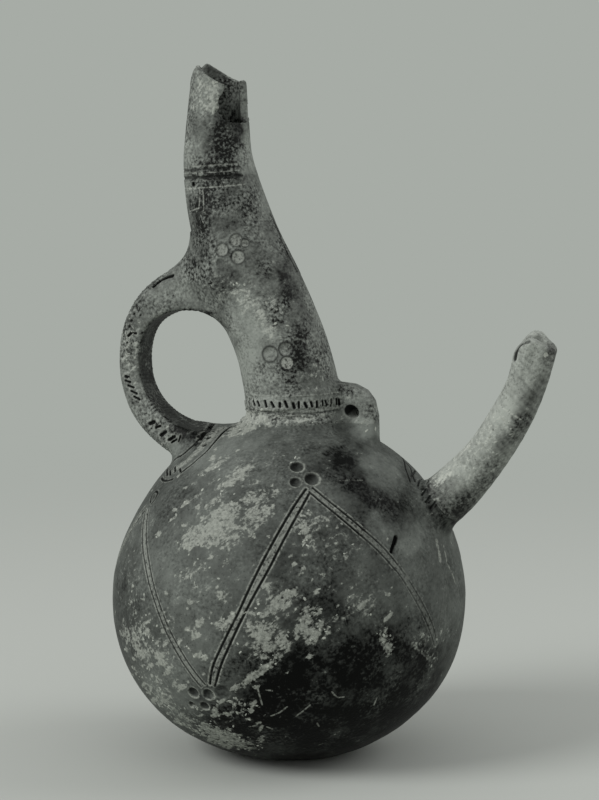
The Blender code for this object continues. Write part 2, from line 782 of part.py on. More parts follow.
def build():
    for thing in list(bpy.data.objects):
        bpy.data.objects.remove(thing)
    jug = new_collection("spouted_jug")
    cutters = new_collection("cutters")

    belly_solid = make_belly_solid(cutters)
    neck_solid = make_neck_solid(cutters)
    lug_seat = make_lug_seat(cutters)
    handle_solid = hide_cutter(mesh_object("handle_solid", strap_mesh("handle_solid", SEAM), cutters))
    spout_bore = make_spout_bore(cutters)

    bowl = make_bowl(jug)
    shoulder = make_shoulder(jug)
    neck = make_neck(jug, cutters, belly_solid)
    beak = make_beak(jug, cutters)
    collar = make_collar(jug, cutters, neck_solid, lug_seat)
    neck_roll = make_neck_roll(jug, neck_solid, belly_solid, lug_seat)
    handle = make_handle(jug, cutters, neck_solid, belly_solid)
    band = make_band(jug, belly_solid, handle_solid)
    handle_roll = make_handle_roll(jug, neck_solid, handle_solid)
    spout = make_spout(jug, cutters, belly_solid, spout_bore)
    spout_roll = make_spout_roll(jug, cutters, belly_solid)
    lug = make_lug(jug, cutters, neck_solid, belly_solid)

    # Openings through the shoulder wall: neck, spout and the handle's tenon
    neck_hole = rod(
        "neck_hole",
        neck_centre(-40.0 * MM),
        (0.0, 0.0, 1.0),
        80.0 * MM,
        NECK_FOOT_RADIUS - NECK_WALL,
        NECK_SIDES,
        cutters,
    )
    boolean(shoulder, hide_cutter(neck_hole))
    boolean(shoulder, spout_bore)
    foot = handle_root()
    normal = shoulder_normal(foot)
    tenon_hole = rod(
        "tenon_hole",
        foot + normal * (2.0 * BELLY_WALL),
        -normal,
        5.0 * BELLY_WALL,
        TENON_RADIUS + SEAM,
        20,
        cutters,
    )
    boolean(shoulder, hide_cutter(tenon_hole))

    # Slip colours: dark reduced belly, greyer neck and handle, pale bare spout
    dark_slip = (0.045, 0.047, 0.045)
    mid_slip = (0.105, 0.108, 0.102)
    pale_clay = (0.22, 0.225, 0.215)
    finishes = (
        (bowl, dark_slip, 0.42),
        (shoulder, dark_slip, 0.45),
        (neck, mid_slip, 0.60),
        (beak, mid_slip, 0.65),
        (collar, mid_slip, 0.60),
        (neck_roll, mid_slip, 0.60),
        (handle, mid_slip, 0.65),
        (band, mid_slip, 0.60),
        (handle_roll, mid_slip, 0.65),
        (spout, pale_clay, 0.75),
        (spout_roll, dark_slip, 0.55),
        (lug, mid_slip, 0.60),
    )
    frame = bpy.data.objects.new("jug_frame", None)
    jug.objects.link(frame)
    for member, colour, roughness in finishes:
        member.data.materials.clear()
        member.data.materials.append(clay(member.name, colour, roughness))
        member.parent = frame


build()
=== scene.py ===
# Visual model of a hand-built spouted jug, in slipped and burnished earthenware.
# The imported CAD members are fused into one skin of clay, then incised, chipped and crusted.
# Sizes are millimetres: foot centre at the origin, +Z up, +X towards the side spout.

import math

import bmesh
import bpy
import numpy as np
from mathutils import Matrix, Vector
from mathutils.bvhtree import BVHTree
from mathutils.kdtree import KDTree


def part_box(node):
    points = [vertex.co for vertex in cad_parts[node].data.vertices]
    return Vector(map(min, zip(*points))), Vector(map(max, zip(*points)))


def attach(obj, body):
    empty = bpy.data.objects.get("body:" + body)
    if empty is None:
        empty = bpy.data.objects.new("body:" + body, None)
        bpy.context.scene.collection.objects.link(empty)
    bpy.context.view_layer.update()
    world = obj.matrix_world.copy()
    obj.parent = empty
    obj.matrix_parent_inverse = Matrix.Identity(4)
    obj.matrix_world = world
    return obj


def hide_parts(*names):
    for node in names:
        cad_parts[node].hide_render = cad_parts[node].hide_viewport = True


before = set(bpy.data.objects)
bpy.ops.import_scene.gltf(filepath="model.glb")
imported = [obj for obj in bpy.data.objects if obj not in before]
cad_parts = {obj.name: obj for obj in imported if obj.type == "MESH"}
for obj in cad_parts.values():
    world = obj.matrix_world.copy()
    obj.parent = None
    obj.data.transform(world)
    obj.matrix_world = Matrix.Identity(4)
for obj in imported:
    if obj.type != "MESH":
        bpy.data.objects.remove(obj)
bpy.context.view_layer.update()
mm = 0.001
chance = np.random.default_rng(1907)


# Shapes of the members, read off the frame where a node's box gives them

# The belly: an ellipse above its widest line, a squarer oval below it, cut off by the foot
belly = {
    "radius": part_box("lower_bowl")[1].x / mm,
    "widest": 86.0,
    "rise": 100.6,
    "foot": 27.0,
    "fullness": 2.12,
}
belly["depth"] = belly["widest"] / (1.0 - (belly["foot"] / belly["radius"]) ** belly["fullness"]) ** (
    1.0 / belly["fullness"]
)

# The neck: its line leans back by a smooth step and returns a little in the beak; rises count
# from its foot, and the tapers are radii by rise
neck = {
    "foot": 26.2,
    "offset": 3.8,
    "lean": 45.5,
    "bend": 150.0,
    "rise": 133.0,
    "beak": 63.0,
    "back": 1.6,
    "wall": 5.0,
    "lip": 3.8,
    "boreFrom": 52.0,
    "collar": (8.6, 17.6),
    "bulge": 2.2,
    "tapers": [(0.0, 26.2), (77.1, 25.2), (113.0, 22.2), (138.3, 18.7), (196.0, 14.8)],
    "fillet": 8.0,
}
neck["height"] = belly["widest"] + belly["rise"] * math.sqrt(1.0 - (neck["foot"] / belly["radius"]) ** 2)

# The mouth: slopes of its rim, the horn left on it, its lost back corner and the slice broken out
beak = {
    "fall": math.radians(29.0),
    "sideFall": 0.27,
    "raised": 2.8,
    "backShare": 0.7,
    "horn": 2.4,
    "hornFrom": 19.0,
    "hornSpan": 4.0,
    "chipTurn": math.radians(-54.0),
    "chipPlace": (0.9, 0.0, 1.2),
    "cutTurn": math.radians(18.0),
    "cutSide": -1.6,
    "cutLean": 0.3,
    "cutNear": 1.0,
    "cutFoot": 33.0,
}

# The strap: where its path runs, its section, how wide it spreads at both ends, its luting clay.
# The four pulls shape the curve beside the neck and beside the dome
handle = {
    "joint": 74.5,
    "reach": 89.7,
    "reachRise": 33.0,
    "rootRadius": 56.0,
    "rootTurn": math.radians(187.0),
    "rootFall": math.radians(27.0),
    "bite": 0.72,
    "pulls": {"joint": 0.76, "top": 0.55, "bottom": 0.5, "foot": 0.46},
    "tenon": 11.0,
    "width": 11.0,
    "thickness": 7.9,
    "topFlare": 9.6,
    "topSpan": 0.34,
    "topSwell": 2.8,
    "rootFlare": 6.4,
    "rootSpan": 0.44,
    "flat": 0.84,
    "fillets": {"topOuter": 24.0, "topInner": 12.0, "rootOuter": 4.0, "rootInner": 15.0},
}

# The spout: its arc, its radii and its bore's by share of the length, the way into it from the
# belly, and its tip, fuller above and worn to two faces (tilt, side turn, distance from the ridge)
spout = {
    "root": 82.8,
    "length": 114.0,
    "startTilt": math.radians(51.0),
    "endTilt": math.radians(12.0),
    "radii": [(0.0, 14.0), (0.45, 11.5), (1.0, 9.9)],
    "bore": [(0.0, 5.6), (0.45, 5.6), (1.0, 4.6)],
    "way": 5.2,
    "swell": 2.3,
    "swellFrom": 0.72,
    "ridge": 2.7,
    "faces": ((math.radians(-42.0), 0.3, 2.4), (math.radians(35.0), 0.14, 0.0)),
    "fillet": 9.0,
}

# The pierced lug, out from and above the corner of neck and shoulder; its hole is waisted and slants
lug = {
    "reach": 21.5,
    "rise": 24.5,
    "half": 5.5,
    "hole": 4.3,
    "holeOut": 10.0,
    "holeRise": 8.4,
    "waist": 1.9,
    "slant": 0.44,
    "fillet": 4.0,
}

# Where the vessel is parted: heights, and outlines in the plane of neck and spout. The blocks
# that part it reach past it to these four
split = {
    "under": -20.0,
    "over": 420.0,
    "beside": 130.0,
    "ends": 200,
    "bowlTop": 87.0,
    "neckFoot": 184.5,
    "beakFoot": 317.0,
    "halves": 6.0,
    "handle": ((-120, 146), (-36, 183.5), (-36, 225), (-44, 240), (-60, 277), (-120, 277)),
    "spout": ((62, 174.5), (113, 113), (185, 113), (185, 260), (62, 260)),
}


# Small field tools: a field is the distance to a skin in mm, negative inside the clay

def smoothStep(value):
    value = np.clip(value, 0.0, 1.0)
    return value * value * (3.0 - 2.0 * value)


def joined(a, b, reach):
    share = np.maximum(reach - np.abs(a - b), 0.0) / reach
    return np.minimum(a, b) - share * share * reach * 0.25


def cutBy(a, b, reach):
    return -joined(-a, b, reach)


def through(stations, value):
    # Smooth value through stations, flat at each one.
    total = np.full(np.shape(value), float(stations[0][1]))
    for (start, low), (end, high) in zip(stations, stations[1:]):
        total = total + (high - low) * smoothStep((value - start) / (end - start))
    return total


def cellNoise(places, size, seed):
    # Smooth noise from -1 to 1 whose cells are the given size in mm.
    scaled = places / size
    base = np.floor(scaled).astype(np.int64)
    part = smoothStep(scaled - base)
    total = np.zeros(len(places))
    for corner in range(8):
        step = np.array([(corner >> axis) & 1 for axis in range(3)])
        spot = base + step
        mixed = (spot[:, 0] * 73856093) ^ (spot[:, 1] * 19349663) ^ (spot[:, 2] * 83492791) ^ (seed * 40503)
        mixed = ((mixed ^ (mixed >> 13)) * 1274126177) & 0x7FFFFFFF
        value = ((mixed ^ (mixed >> 15)) & 0xFFFF) / 32767.5 - 1.0
        total += value * np.prod(np.where(step == 1, part, 1.0 - part), axis=1)
    return total


def roughness(places, size, seed):
    # Three octaves of noise.
    return sum(cellNoise(places, size / 2.0 ** k, seed + k) / 2.0 ** k for k in range(3)) / 1.75


# Member fields

def ovalField(across, upward, wide, tall, power):
    # Distance to an oval of the given half sizes; a higher power makes it squarer.
    across = np.abs(across) / wide + 1e-6
    upward = np.abs(upward) / tall + 1e-6
    size = (across ** power + upward ** power) ** (1.0 / power)
    slope = np.hypot((across / size) ** (power - 1.0) / wide, (upward / size) ** (power - 1.0) / tall)
    return (size - 1.0) / slope


def bellyShape(height, inset=0.0):
    # Rise above the widest line, and the power and half height of the outline on that side.
    rise = height - belly["widest"]
    power = np.where(rise > 0.0, 2.0, belly["fullness"])
    return rise, power, np.where(rise > 0.0, belly["rise"], belly["depth"]) - inset


def bellyRadius(height, inset=0.0):
    rise, power, tall = bellyShape(height, inset)
    share = np.minimum(np.abs(rise) / tall, 1.0)
    return (belly["radius"] - inset) * (1.0 - share ** power) ** (1.0 / power)


def bellyField(places):
    rise, power, tall = bellyShape(places[:, 2])
    return ovalField(np.hypot(places[:, 0], places[:, 1]), rise, belly["radius"], tall, power)


def neckLine(rise):
    # The leaning centre line: its x at a rise above the neck's foot.
    lean = neck["lean"] * smoothStep(rise / neck["bend"])
    return neck["offset"] - lean + neck["back"] * smoothStep((rise - neck["rise"]) / neck["beak"])


def neckSlope(rise):
    return neckLine(rise + 0.5) - neckLine(rise - 0.5)


def neckRadius(rise):
    stations = np.array(neck["tapers"])
    steps = ((-14.0, 1.0), (-7.0, 2.0), (0.0, 3.0), (7.0, 2.0), (14.0, 1.0))
    radii = [weight * np.interp(rise + step, stations[:, 0], stations[:, 1]) for step, weight in steps]
    return sum(radii) / 9.0


def neckSpot(places):
    # Rise of the nearest point of the centre line, and the distance from it.
    rise = places[:, 2] - neck["height"]
    for _ in range(3):
        slope = neckSlope(rise)
        short = (places[:, 0] - neckLine(rise)) * slope + (places[:, 2] - neck["height"] - rise)
        rise = rise + short / (1.0 + slope * slope)
    gap = np.hypot(places[:, 0] - neckLine(rise), places[:, 2] - neck["height"] - rise)
    return rise, np.hypot(gap, places[:, 1])


def bezier(points, count):
    t = np.linspace(0.0, 1.0, count)[:, None]
    a, b, c, d = points
    return a * (1 - t) ** 3 + b * 3 * t * (1 - t) ** 2 + c * 3 * t * t * (1 - t) + d * t ** 3


def shoulderHeight(radius):
    return belly["widest"] + belly["rise"] * math.sqrt(1.0 - (radius / belly["radius"]) ** 2)


def makeHandlePath():
    turn = handle["rootTurn"]
    out = handle["rootRadius"]
    foot = np.array([out * math.cos(turn), out * math.sin(turn), shoulderHeight(out)])
    joint = np.array([neckLine(handle["joint"]), 0.0, neck["height"] + handle["joint"]])
    joint[0] -= handle["bite"] * neckRadius(handle["joint"])
    reach = np.array([-handle["reach"], 0.35 * foot[1], neck["height"] + handle["reachRise"]])
    span = joint[0] - reach[0]
    drop = joint[2] - reach[2]
    fall = reach[2] - foot[2]
    landing = foot * (1.0, 1.0, 0.0) / out * math.cos(handle["rootFall"])
    landing[2] = math.sin(handle["rootFall"])
    pulls = handle["pulls"]
    leaving = joint + (-pulls["joint"] * span, 0.0, -0.04 * drop)
    upper = (joint, leaving, reach + (0.0, 0.0, pulls["top"] * drop), reach)
    arriving = foot + landing * (pulls["foot"] * fall)
    lower = (reach, reach - (0.0, 0.0, pulls["bottom"] * fall), arriving, foot)
    return np.vstack((bezier(upper, 25), bezier(lower, 25)[1:], foot - landing * handle["tenon"]))


handle["path"] = makeHandlePath()


def handleSpot(places):
    # Share along the strap, and how far a place lies across it and outwards from it.
    path = handle["path"]
    nearest = np.full(len(places), np.inf)
    along = np.zeros(len(places))
    spot = np.zeros((len(places), 3))
    for index in range(len(path) - 1):
        run = path[index + 1] - path[index]
        share = np.clip((places - path[index]) @ run / (run @ run), 0.0, 1.0)
        point = path[index] + share[:, None] * run
        gap = ((places - point) ** 2).sum(1)
        closer = gap < nearest
        nearest[closer] = gap[closer]
        along[closer] = index + share[closer]
        spot[closer] = point[closer]
    ahead = np.gradient(path, axis=0)
    ahead /= np.linalg.norm(ahead, axis=1)[:, None]
    counts = np.arange(len(path))
    ahead = np.stack([np.interp(along, counts, ahead[:, axis]) for axis in range(3)], axis=1)
    across = np.array([0.0, 1.0, 0.0]) - ahead * ahead[:, 1:2]
    across /= np.linalg.norm(across, axis=1)[:, None]
    outward = np.cross(across, ahead)
    gap = places - spot
    return along / (len(path) - 2), (gap * across).sum(1), (gap * outward).sum(1), (gap * ahead).sum(1)


def strapSection(share):
    # Half width of the strap, and its thickness outwards and towards the neck.
    top = np.clip(1.0 - share / handle["topSpan"], 0.0, 1.0) ** 1.8
    root = np.clip((share - 1.0 + handle["rootSpan"]) / handle["rootSpan"], 0.0, 1.0) ** 1.3
    width = handle["width"] + 0.4 * handle["topFlare"] * top + handle["rootFlare"] * root ** 1.5
    inner = handle["thickness"] + handle["topFlare"] * top + handle["rootFlare"] * root
    swell = handle["topSwell"] * np.exp(-((share - 0.2) / 0.17) ** 2)
    outer = handle["thickness"] + handle["topFlare"] * top + swell
    return width, outer, inner


def strapFillet(places):
    # Reach of the luting clay: full above the strap's top and under its root, tight on the other sides.
    size = handle["fillets"]
    above = smoothStep((places[:, 2] - 246.0) / 16.0)
    inward = smoothStep((places[:, 0] + 66.0) / 12.0)
    top = size["topInner"] + (size["topOuter"] - size["topInner"]) * above
    root = size["rootOuter"] + (size["rootInner"] - size["rootOuter"]) * inward
    return np.where(places[:, 2] > 225.0, top, root)


def strapField(places):
    field = np.full(len(places), 60.0)
    low = handle["path"].min(0) - 30.0
    high = handle["path"].max(0) + 30.0
    inside = np.all((places > low) & (places < high), axis=1)
    if not inside.any():
        return field
    share, across, outward, beyond = handleSpot(places[inside])
    width, outer, inner = strapSection(share)
    thickness = np.where(outward > 0.0, outer, inner)
    # Arched outside, flat towards the neck with a crisp edge
    power = np.where(outward > 0.0, 2.5, 5.0)
    skin = ovalField(across, outward, width, thickness, power)
    skin = cutBy(skin, outward + handle["flat"] * inner, 0.8)
    field[inside] = np.hypot(np.maximum(skin, 0.0), beyond) + np.minimum(skin, 0.0)
    return field


def spoutBend():
    # The spout's centre line is an arc: its middle's x, its radius, its middle's z.
    bend = spout["length"] / (spout["startTilt"] - spout["endTilt"])
    middleX = spout["root"] - bend * math.cos(spout["startTilt"])
    return middleX, bend, shoulderHeight(spout["root"]) + bend * math.sin(spout["startTilt"])


def spoutAt(along):
    # The point of the centre line at a distance from the root.
    middleX, bend, middleZ = spoutBend()
    tilt = spout["startTilt"] - along / bend
    return np.array([middleX + bend * math.cos(tilt), 0.0, middleZ - bend * math.sin(tilt)])


def spoutSpot(places):
    # Distance along the curved centre line, distance from it, and how far under it a place lies.
    middleX, bend, middleZ = spoutBend()
    x = places[:, 0] - middleX
    z = places[:, 2] - middleZ
    along = (spout["startTilt"] - np.arctan2(-z, x)) * bend
    under = np.hypot(x, z) - bend
    return along, np.hypot(under, places[:, 1]), under


def spoutField(places):
    field = np.full(len(places), 60.0)
    inside = (places[:, 0] > 55.0) & (places[:, 2] > 100.0)
    along, gap, under = spoutSpot(places[inside])
    share = along / spout["length"]
    skin = gap - through(spout["radii"], share)
    # Its upper side is fuller near the tip
    skin -= spout["swell"] * smoothStep((share - spout["swellFrom"]) / 0.2) * smoothStep((1.0 - under) / 6.0)
    # Worn to a ridge at the tip: one face towards the neck, one away from it
    tip = spoutAt(spout["length"]) - (spout["ridge"], 0.0, 0.0)
    faces = []
    for tilt, side, out in spout["faces"]:
        way = np.array([math.sin(tilt), -math.sin(side) * math.cos(tilt), math.cos(side) * math.cos(tilt)])
        faces.append((places[inside] - tip) @ way - out)
    worn = cutBy(faces[0], -faces[1], 5.0) + 0.35 * roughness(places[inside], 4.0, 31)
    skin = cutBy(skin, -worn, 1.5)
    skin = cutBy(skin, gap - through(spout["bore"], share), 1.4)
    field[inside] = np.maximum(skin, -along - 30.0)
    return field


def lugField(places):
    # A rounded plate whose outline is a polygon in the plane of spout and neck.
    corner = neck["offset"] + neck["foot"]
    x = places[:, 0] - corner
    z = places[:, 2] - shoulderHeight(corner)
    field = np.full(len(places), 60.0)
    inside = (np.abs(x - 8.0) < 34.0) & (np.abs(z) < 44.0) & (np.abs(places[:, 1]) < 24.0)
    x, y, z = x[inside], places[inside, 1], z[inside]
    reach, rise = lug["reach"], lug["rise"]
    outline = np.array([
        (-12.0, rise),
        (0.08 * reach, rise),
        (0.38 * reach, 0.97 * rise),
        (0.70 * reach, 0.84 * rise),
        (0.90 * reach, 0.62 * rise),
        (0.99 * reach, 0.28 * rise),
        (reach, -0.5 * rise),
        (0.95 * reach, -rise),
        (-12.0, -rise),
    ])
    gap = np.full(len(x), np.inf)
    within = np.zeros(len(x), bool)
    for (ax, az), (bx, bz) in zip(outline, np.roll(outline, -1, axis=0)):
        wide, tall = bx - ax, bz - az
        share = np.clip(((x - ax) * wide + (z - az) * tall) / (wide ** 2 + tall ** 2), 0.0, 1.0)
        gap = np.minimum(gap, np.hypot(x - ax - share * wide, z - az - share * tall))
        crosses = (az > z) != (bz > z)
        within ^= crosses & (x < ax + (z - az) * wide / (tall or 1.0))
    flat = np.where(within, -gap, gap)
    skin = -joined(-flat, lug["half"] - np.abs(y), 4.0)
    waist = lug["hole"] - lug["waist"] * (1.0 - np.clip(np.abs(y) / lug["half"], 0.0, 1.0) ** 2)
    hole = np.hypot(x - lug["holeOut"] - lug["slant"] * y, z - lug["holeRise"]) - waist
    field[inside] = cutBy(skin, hole, 2.0)
    return field


def beakCuts(field, places):
    # The mouth: a sloping rim, a lost back corner and a slice broken out on the spout's side.
    broken = 0.75 * roughness(places, 5.0, 11)
    top = neck["rise"] + neck["beak"]
    behind = beak["backShare"] * neck["tapers"][-1][1]
    gap = places - np.array([neckLine(top) - behind, 0.0, neck["height"] + top])
    fall = beak["fall"]
    rim = np.array([math.sin(fall), math.sin(beak["sideFall"]) * math.cos(fall), math.cos(fall)])
    horn = beak["horn"] * smoothStep((gap[:, 0] - beak["hornFrom"]) / beak["hornSpan"])
    field = cutBy(field, -(gap @ rim) + beak["raised"] - 0.7 * broken + horn, 1.2)
    chip = beak["chipTurn"]
    lost = np.array([math.sin(chip), -0.1, math.cos(chip)])
    field = cutBy(field, -((gap - beak["chipPlace"]) @ lost) - broken, 2.4)
    # The corner between the near side and the spout's side is lost, so the hollow shows
    low = neck["rise"] + beak["cutFoot"]
    beside = places - (neckLine(low), 0.0, neck["height"] + low)
    turn = beak["cutTurn"]
    aside = beside[:, 0] * math.cos(turn) + beside[:, 1] * math.sin(turn) - beak["cutSide"]
    nearer = beside[:, 0] * math.sin(turn) - beside[:, 1] * math.cos(turn) - beak["cutNear"]
    ragged = 1.1 * roughness(places, 9.0, 12)
    step = 1.8 * cellNoise(places, 6.0, 14) + 2.2 * broken
    lost = np.maximum(beak["cutLean"] * beside[:, 2] - aside + step, broken - nearer)
    lost = -joined(-lost, beside[:, 2] - 0.45 * aside, 2.5) + ragged
    return cutBy(field, lost, 0.9)


def clayField(places):
    field = -joined(-bellyField(places), places[:, 2], 2.0)
    rise, gap = neckSpot(places)
    tube = gap - neckRadius(rise)
    tube = np.where(rise < -30.0, 60.0, tube)
    field = joined(field, tube, neck["fillet"])
    field = joined(field, strapField(places), strapFillet(places))
    field = joined(field, spoutField(places), spout["fillet"])
    field = joined(field, lugField(places), lug["fillet"])
    wall = np.where(rise > neck["rise"], neck["lip"], neck["wall"])
    bore = np.maximum(gap - neckRadius(rise) + wall, neck["boreFrom"] - rise)
    field = cutBy(field, bore, 1.2)
    high = rise > 120.0
    field[high] = beakCuts(field[high], places[high])
    return field


def slopeOf(field, places, step=0.15):
    base = field(places)
    ways = [field(places + step * axis) - base for axis in np.eye(3)]
    return base, np.stack(ways, axis=1) / step


# Camera: the photograph's viewpoint, which also places what is seen in it

camera = {
    "azimuth": math.radians(18.0),
    "elevation": math.radians(6.0),
    "distance": 1250.0,
    "target": np.array([5.64, 1.83, 195.35]),
    "size": (599, 800),
    "sensor": 36.0,
    "lens": 102.26,
}


def cameraAxes():
    turn, lift = camera["azimuth"], camera["elevation"]
    ahead = np.array([-math.sin(turn) * math.cos(lift), math.cos(turn) * math.cos(lift), -math.sin(lift)])
    right = np.array([math.cos(turn), math.sin(turn), 0.0])
    return right, np.cross(right, ahead), ahead


viewRight, viewUp, viewAhead = cameraAxes()
viewPlace = camera["target"] - viewAhead * camera["distance"]

# Across a dent, from the side that faces the key lamp to the side away from it; it sets where painted shade
# and painted highlight fall in each dent
awayFromLamp = (viewRight - 1.2 * viewUp) / 1.56


def seen(*pixels):
    # Places on the clay that show at these pixels of the photograph.
    focal = camera["lens"] / camera["sensor"] * camera["size"][1]
    found = []
    for x, y in pixels:
        across = (x - camera["size"][0] / 2.0) / focal
        down = (y - camera["size"][1] / 2.0) / focal
        ray = across * viewRight - down * viewUp + viewAhead
        ray /= np.linalg.norm(ray)
        spot = clayTree.ray_cast(Vector(viewPlace), Vector(ray))[0]
        if spot is None:
            beside = viewPlace + ray * ((camera["target"] - viewPlace) @ ray)
            spot = clayTree.find_nearest(Vector(beside))[0]
        found.append(tuple(spot))
    return np.array(found)


def onBelly(azimuth, height):
    azimuth, height = np.radians(azimuth), np.asarray(height, float)
    out = bellyRadius(height)
    return np.stack((out * np.cos(azimuth), out * np.sin(azimuth), height), axis=-1)


def onNeck(turn, rise):
    turn, rise = np.radians(turn), np.asarray(rise, float) + 0.0 * turn
    slope = neckSlope(rise)
    out = neckRadius(rise)
    x = neckLine(rise) + out * np.cos(turn) * np.sqrt(1.0 + slope * slope)
    return np.stack((x, out * np.sin(turn), neck["height"] + rise), axis=-1)


# Clay skin: the frame's members fused, pulled onto the clay field and refined near the ornament

# The skin's grid, the swelling that closes the members' seams, and how far beside the ornament
# each refining round goes
fineness = {
    "voxel": 1.3,
    "quickVoxel": 2.2,
    "swell": 0.25,
    "reaches": (1.8, 0.9),
}

# A hollow: how deep it lies under the belly's skin and the neck's, and how far up the neck it goes
startHollow = (2.8, 2.4, 48.0)
finalHollow = (5.5, 4.7, 58.0)


def linked(name, mesh):
    thing = bpy.data.objects.new(name, mesh)
    bpy.context.scene.collection.objects.link(thing)
    return thing


def resultOf(thing):
    # What an object's modifiers make of its mesh.
    bpy.context.view_layer.update()
    return bpy.data.meshes.new_from_object(thing.evaluated_get(bpy.context.evaluated_depsgraph_get()))


def readAll(items, key, width=1, kind=np.float32):
    # One array of a property of every item, such as each vertex's place.
    values = np.empty(len(items) * width, kind)
    items.foreach_get(key, values)
    return values if width == 1 else values.reshape(-1, width)


def ringMesh(name, rings):
    # A closed mesh from rings of points, capped at both ends.
    count = len(rings[0])
    mesh = bpy.data.meshes.new(name)
    faces = []
    for row in range(len(rings) - 1):
        for k in range(count):
            n = (k + 1) % count
            faces.append((row * count + k, row * count + n, (row + 1) * count + n, (row + 1) * count + k))
    faces.append(tuple(reversed(range(count))))
    faces.append(tuple(range((len(rings) - 1) * count, len(rings) * count)))
    mesh.from_pydata([tuple(p) for p in np.concatenate(rings) * mm], [], faces)
    mesh.update()
    return mesh


def cavityRings(inset, wall, top):
    # Rings of the hollow: up the belly's inside, then up the neck's bore.
    turns = np.linspace(0.0, 2.0 * math.pi, 48, endpoint=False)
    circle = np.stack((np.cos(turns), np.sin(turns), 0.0 * turns), axis=1)
    rings = []
    low = belly["widest"] - (belly["depth"] - inset)
    for height in np.concatenate((low + 0.6 + 3.0 * np.arange(4), np.linspace(low + 14.0, 174.0, 26))):
        rings.append(circle * bellyRadius(height, inset) + (0.0, 0.0, height))
    for rise in np.linspace(0.0, top, 12):
        slope = neckSlope(rise)
        ring = circle * (neckRadius(rise) - wall)
        ring[:, 0] *= math.sqrt(1.0 + slope * slope)
        rings.append(ring + (neckLine(rise), 0.0, neck["height"] + rise))
    return rings


def fusedStart(voxel):
    shape = bmesh.new()
    for name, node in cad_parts.items():
        part = bmesh.new()
        part.from_mesh(node.data)
        bmesh.ops.remove_doubles(part, verts=part.verts, dist=2e-6)
        part.normal_update()
        moves = [vertex.normal * fineness["swell"] * mm for vertex in part.verts]
        for vertex, move in zip(part.verts, moves):
            vertex.co += move
        copy = bpy.data.meshes.new(name + "_copy")
        part.to_mesh(copy)
        part.free()
        shape.from_mesh(copy)
        bpy.data.meshes.remove(copy)
    plug = ringMesh("plug", cavityRings(*startHollow))
    shape.from_mesh(plug)
    bpy.data.meshes.remove(plug)
    mesh = bpy.data.meshes.new("fused")
    shape.to_mesh(mesh)
    shape.free()
    thing = linked("fused", mesh)
    remesh = thing.modifiers.new("fuse", "REMESH")
    remesh.mode = "VOXEL"
    remesh.voxel_size = voxel * mm
    fused = resultOf(thing)
    bpy.data.objects.remove(thing)
    bpy.data.meshes.remove(mesh)
    return fused


def readPlaces(mesh):
    return readAll(mesh.vertices, "co", 3).astype(float) / mm


def writePlaces(mesh, places):
    mesh.vertices.foreach_set("co", (places * mm).astype(np.float32).ravel())
    mesh.update()


def evened(mesh, places, rounds, share=0.5):
    # Each vertex moves towards the middle of its neighbours.
    a, b = readAll(mesh.edges, "vertices", 2, np.int64).T
    count = np.bincount(a, minlength=len(places)) + np.bincount(b, minlength=len(places))
    count = np.maximum(count, 1)[:, None]
    for _ in range(rounds):
        total = np.stack([
            np.bincount(a, places[b, axis], len(places)) + np.bincount(b, places[a, axis], len(places))
            for axis in range(3)
        ], axis=1)
        places = places + share * (total / count - places)
    return places


def pulledOn(places, rounds):
    # Newton steps towards the clay field, along the slope where each place starts.
    field, slope = slopeOf(clayField, places)
    slope /= np.maximum((slope ** 2).sum(1), 0.3)[:, None]
    for _ in range(rounds):
        places = places - slope * np.clip(field, -1.5, 1.5)[:, None]
        if rounds > 1:
            field = clayField(places)
    return places


# Unevenness from the hand, the burnishing pebble and the slip: mm added, size and seed of the noise
handSwells = ((0.35, 34.0, 5), (0.16, 13.0, 6), (0.06, 5.0, 7))
# Where the hand left the neck fuller or leaner: rise, spread, turn in degrees, mm added
neckSwells = ((128.0, 22.0, 0.0, 1.9), (46.0, 18.0, 180.0, -1.4))
# Where the belly is leaner: azimuth, height, spread, mm added
bellySwells = ((198.0, 138.0, 34.0, -2.0),)


def handWork(places):
    # The potter's unevenness, the swells of the seams, and ridges wiped round the spout.
    rise, gap = neckSpot(places)
    swell = sum(amount * cellNoise(places, size, seed) for amount, size, seed in handSwells)
    onTheNeck = (gap < neckRadius(rise) + 4.0) & (gap > neckRadius(rise) - 2.5)
    low, high = neck["collar"]
    collar = smoothStep((rise - low) / 1.2) * smoothStep((high - rise) / 1.2)
    ridge = np.exp(-((rise - neck["bulge"] - 0.5 * cellNoise(places, 12.0, 8)) / 1.3) ** 2)
    swell += np.where(onTheNeck, 0.75 * collar + 0.9 * ridge, 0.0)
    along, fromSpout, _ = spoutSpot(places)
    onTheSpout = (places[:, 0] > 84.0) & (fromSpout < 16.0) & (along > 4.0)
    wipes = np.sin(along / 1.15 + 1.5 * cellNoise(places, 14.0, 9) + places[:, 1] * 0.35)
    swell += np.where(onTheSpout, 0.07 * wipes * (0.5 + 0.5 * cellNoise(places, 9.0, 10)), 0.0)
    turn = np.degrees(np.arctan2(places[:, 1], places[:, 0] - neckLine(rise)))
    for middle, spread, facing, amount in neckSwells:
        side = np.clip(np.cos(np.radians(turn - facing)), 0.0, 1.0)
        swell += np.where(onTheNeck, amount * side * np.exp(-((rise - middle) / spread) ** 2), 0.0)
    for azimuth, height, spread, amount in bellySwells:
        swell += amount * np.exp(-(np.linalg.norm(places - onBelly(azimuth, height), axis=1) / spread) ** 2)
    worn = smoothStep((rise - 164.0) / 6.0)
    worn *= smoothStep((-42.0 - turn) / 10.0) * smoothStep((turn + 150.0) / 12.0)
    swell += np.where(onTheNeck, worn * (0.5 * roughness(places, 3.4, 14) - 0.35), 0.0)
    return swell


def makeSkin():
    mesh = fusedStart(fineness["voxel"])
    places = pulledOn(evened(mesh, readPlaces(mesh), 2), 4)
    places = pulledOn(evened(mesh, places, 3), 2)
    writePlaces(mesh, places)
    print(f"skin: {len(mesh.vertices)} vertices fused")
    return mesh


